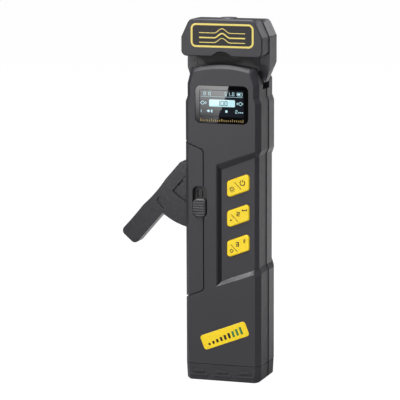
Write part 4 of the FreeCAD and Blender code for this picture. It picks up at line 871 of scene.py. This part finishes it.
class IDENTIFIER_OT_sticker(bpy.types.Operator):
    """Slanted yellow sticker with a row of level bars"""

    bl_idname = "identifier.sticker"
    bl_label = "Add sticker"

    def execute(self, context):
        sizes = context.scene.identifier_print
        finish = context.scene.identifier_finish
        place = (sizes.sticker_x, sizes.sticker_z)
        thickness = 3 * sizes.ink
        corner = 1.5 * MM
        loop = turned(rounded_loop(sizes.sticker_width, sizes.sticker_height, corner), sizes.sticker_turn)
        film = printed_ink("sticker film", finish.sticker_colour, 0.35, finish.painted_glow_of_yellows)
        add_piece("sticker", [moved(ink_field(loop, thickness), place)], FRONT_Y, film,
                  "housing")
        bar_count = 9
        black_count = 6
        width, bar_round, pitch, foot = 1.35, 0.25, 2.5, 2.3
        shortest, growth = 1.2, 0.38
        bars = []
        for index in range(bar_count):
            tall = (shortest + growth * index) * MM
            centre = ((index - bar_count // 2) * pitch * MM, tall / 2 - foot * MM)
            bar = rounded_loop(width * MM, tall, bar_round * MM) + np.array(centre)
            printed = ink_field(turned(bar, sizes.sticker_turn), sizes.ink)
            bars.append(lifted(moved(printed, place), thickness))
        black = printed_ink("sticker black", finish.legend_colour, roughness=0.4)
        add_piece("sticker_bars", bars[:black_count], FRONT_Y, black, "housing")
        green = printed_ink("sticker green", finish.sticker_green, roughness=0.4)
        add_piece("sticker_green_bars", bars[black_count:], FRONT_Y, green, "housing")
        return {"FINISHED"}


def aim(thing, point, spin):
    """Turns a light or the camera towards a point, then about its line of sight."""
    thing.rotation_euler = (Vector(point) - thing.location).to_track_quat("-Z", "Y").to_euler()
    thing.rotation_euler.rotate_axis("Z", spin)


def add_softbox(name, place, point, size, spin, power):
    """Square or oblong area light aimed at a point, hidden from the camera."""
    lamp = bpy.data.lights.new(name, "AREA")
    lamp.shape = "RECTANGLE"
    lamp.size, lamp.size_y = size
    lamp.energy = power
    box = bpy.data.objects.new(name, lamp)
    box.location = place
    aim(box, point, spin)
    box.visible_camera = False
    bpy.context.scene.collection.objects.link(box)
    return box


class IDENTIFIER_OT_stage(bpy.types.Operator):
    """Pale floor, soft light, white surroundings and the camera"""

    bl_idname = "identifier.stage"
    bl_label = "Set up studio"

    def execute(self, context):
        studio = context.scene.identifier_studio
        self.add_floor(studio)
        self.add_world(studio)
        for *values, power in SOFTBOXES:
            add_softbox(*values, getattr(studio, power))
        cards = [add_softbox(*values, getattr(studio, power)) for *values, power in (WINDOW_CARD, WALL_CARD)]
        for card in cards:
            card.visible_diffuse = False
        self.fade(cards[0].data)
        camera = bpy.data.cameras.new("camera")
        camera.lens = studio.lens
        camera.sensor_width = SENSOR_WIDTH
        camera.shift_x, camera.shift_y = studio.camera_shift
        eye = bpy.data.objects.new("camera", camera)
        eye.location = studio.camera_place
        aim(eye, studio.camera_aim, studio.camera_roll)
        context.scene.collection.objects.link(eye)
        context.scene.camera = eye
        context.scene.view_settings.view_transform = "Standard"
        return {"FINISHED"}

    @staticmethod
    def fade(lamp):
        """Dims an area light down its height, from full to a few hundredths."""
        lamp.use_nodes = True
        nodes = Nodes(lamp.node_tree)
        height = nodes.axes(nodes.node("ShaderNodeNewGeometry").outputs["Parametric"])[1]
        strength = nodes.tree.nodes["Emission"].inputs["Strength"]
        nodes.link(nodes.ramp(height, *FADE_HEIGHTS, FADE_LOW), strength)

    @staticmethod
    def floor_paint(colour):
        """Pale floor, lifted towards white where it is seen and, behind the object, where it is mirrored."""
        paint = Recipe("pale floor")
        paint.set(Base_Color=colour, Roughness=0.9, Specular_IOR_Level=0.1)
        x, y, _ = paint.axes(paint.place)
        behind = paint.ramp(y, *MIRROR_Y, 0.0, MIRROR_MOST)
        beside = paint.ramp(x, *MIRROR_X)
        glossy = paint.node("ShaderNodeLightPath").outputs["Is Glossy Ray"]
        shown = paint.math("MAXIMUM", paint.seen(), paint.product([glossy, behind, beside]))
        glow = paint.node("ShaderNodeEmission")
        glow.inputs["Strength"].default_value = FLOOR_LIGHT
        mix = paint.node("ShaderNodeMixShader")
        paint.link(paint.ramp(shown, 0.0, 1.0, 0.0, FLOOR_SHARE), mix.inputs["Fac"])
        paint.link(paint.shader.outputs[0], mix.inputs[1])
        paint.link(glow.outputs[0], mix.inputs[2])
        paint.link(mix.outputs[0], paint.tree.nodes["Material Output"].inputs["Surface"])
        return paint.material

    def add_floor(self, studio):
        """Flat square floor: x and y are two parameters that run from one edge to the other, z is 0."""
        run = np.linspace(-FLOOR_REACH, FLOOR_REACH, FLOOR_CELLS + 1)
        u, v = np.meshgrid(run, run, indexing="ij")
        points = np.stack([u, v, np.zeros_like(u)], -1).reshape(-1, 3)
        a, b = np.meshgrid(np.arange(FLOOR_CELLS), np.arange(FLOOR_CELLS), indexing="ij")
        here = a * len(run) + b
        ahead = here + len(run)
        faces = np.stack([here, ahead, ahead + 1, here + 1], -1).reshape(-1, 4)
        mesh = bpy.data.meshes.new("floor")
        mesh.from_pydata(points.tolist(), [], faces.tolist())
        mesh.materials.append(self.floor_paint(studio.floor_colour))
        floor = bpy.data.objects.new("floor", mesh)
        bpy.context.scene.collection.objects.link(floor)

    @staticmethod
    def add_world(studio):
        """White where it is seen, dimmer as a light."""
        world = bpy.data.worlds.new("studio")
        world.use_nodes = True
        nodes = Nodes(world.node_tree)
        sky = nodes.tree.nodes["Background"]
        sky.inputs["Color"].default_value = (1.0, 1.0, 1.0, 1.0)
        nodes.link(nodes.ramp(nodes.seen(), 0.0, 1.0, studio.ambient, SKY_LIGHT), sky.inputs["Strength"])
        bpy.context.scene.world = world


class IDENTIFIER_PT_sidebar(bpy.types.Panel):
    """Sizes, colours and steps of the identifier"""

    bl_idname = "IDENTIFIER_PT_sidebar"
    bl_label = "Fibre identifier"
    bl_space_type = "VIEW_3D"
    bl_region_type = "UI"
    bl_category = "Identifier"

    def draw(self, context):
        for name, kind in GROUPS.items():
            box = self.layout.box()
            for setting in kind.__annotations__:
                box.prop(getattr(context.scene, name), setting)
        for step in STEPS:
            self.layout.operator(step.bl_idname)


STEPS = (IDENTIFIER_OT_case, IDENTIFIER_OT_mechanism, IDENTIFIER_OT_trigger_lines, IDENTIFIER_OT_keys,
         IDENTIFIER_OT_head_print, IDENTIFIER_OT_display, IDENTIFIER_OT_sticker, IDENTIFIER_OT_stage)
GROUPS = {"identifier_finish": IdentifierFinish, "identifier_print": IdentifierPrint,
          "identifier_studio": IdentifierStudio}


def register():
    """Registers the classes and hangs the settings on the scene."""
    for kind in (*GROUPS.values(), *STEPS, IDENTIFIER_PT_sidebar):
        bpy.utils.register_class(kind)
    for name, kind in GROUPS.items():
        setattr(bpy.types.Scene, name, bpy.props.PointerProperty(type=kind))


def unregister():
    """Takes the settings and classes away again."""
    for name in GROUPS:
        delattr(bpy.types.Scene, name)
    for kind in (IDENTIFIER_PT_sidebar, *reversed(STEPS), *reversed(list(GROUPS.values()))):
        bpy.utils.unregister_class(kind)


def main():
    """Runs every step in order."""
    register()
    for step in STEPS:
        family, name = step.bl_idname.split(".")
        getattr(getattr(bpy.ops, family), name)()


if __name__ == "__main__":
    main()
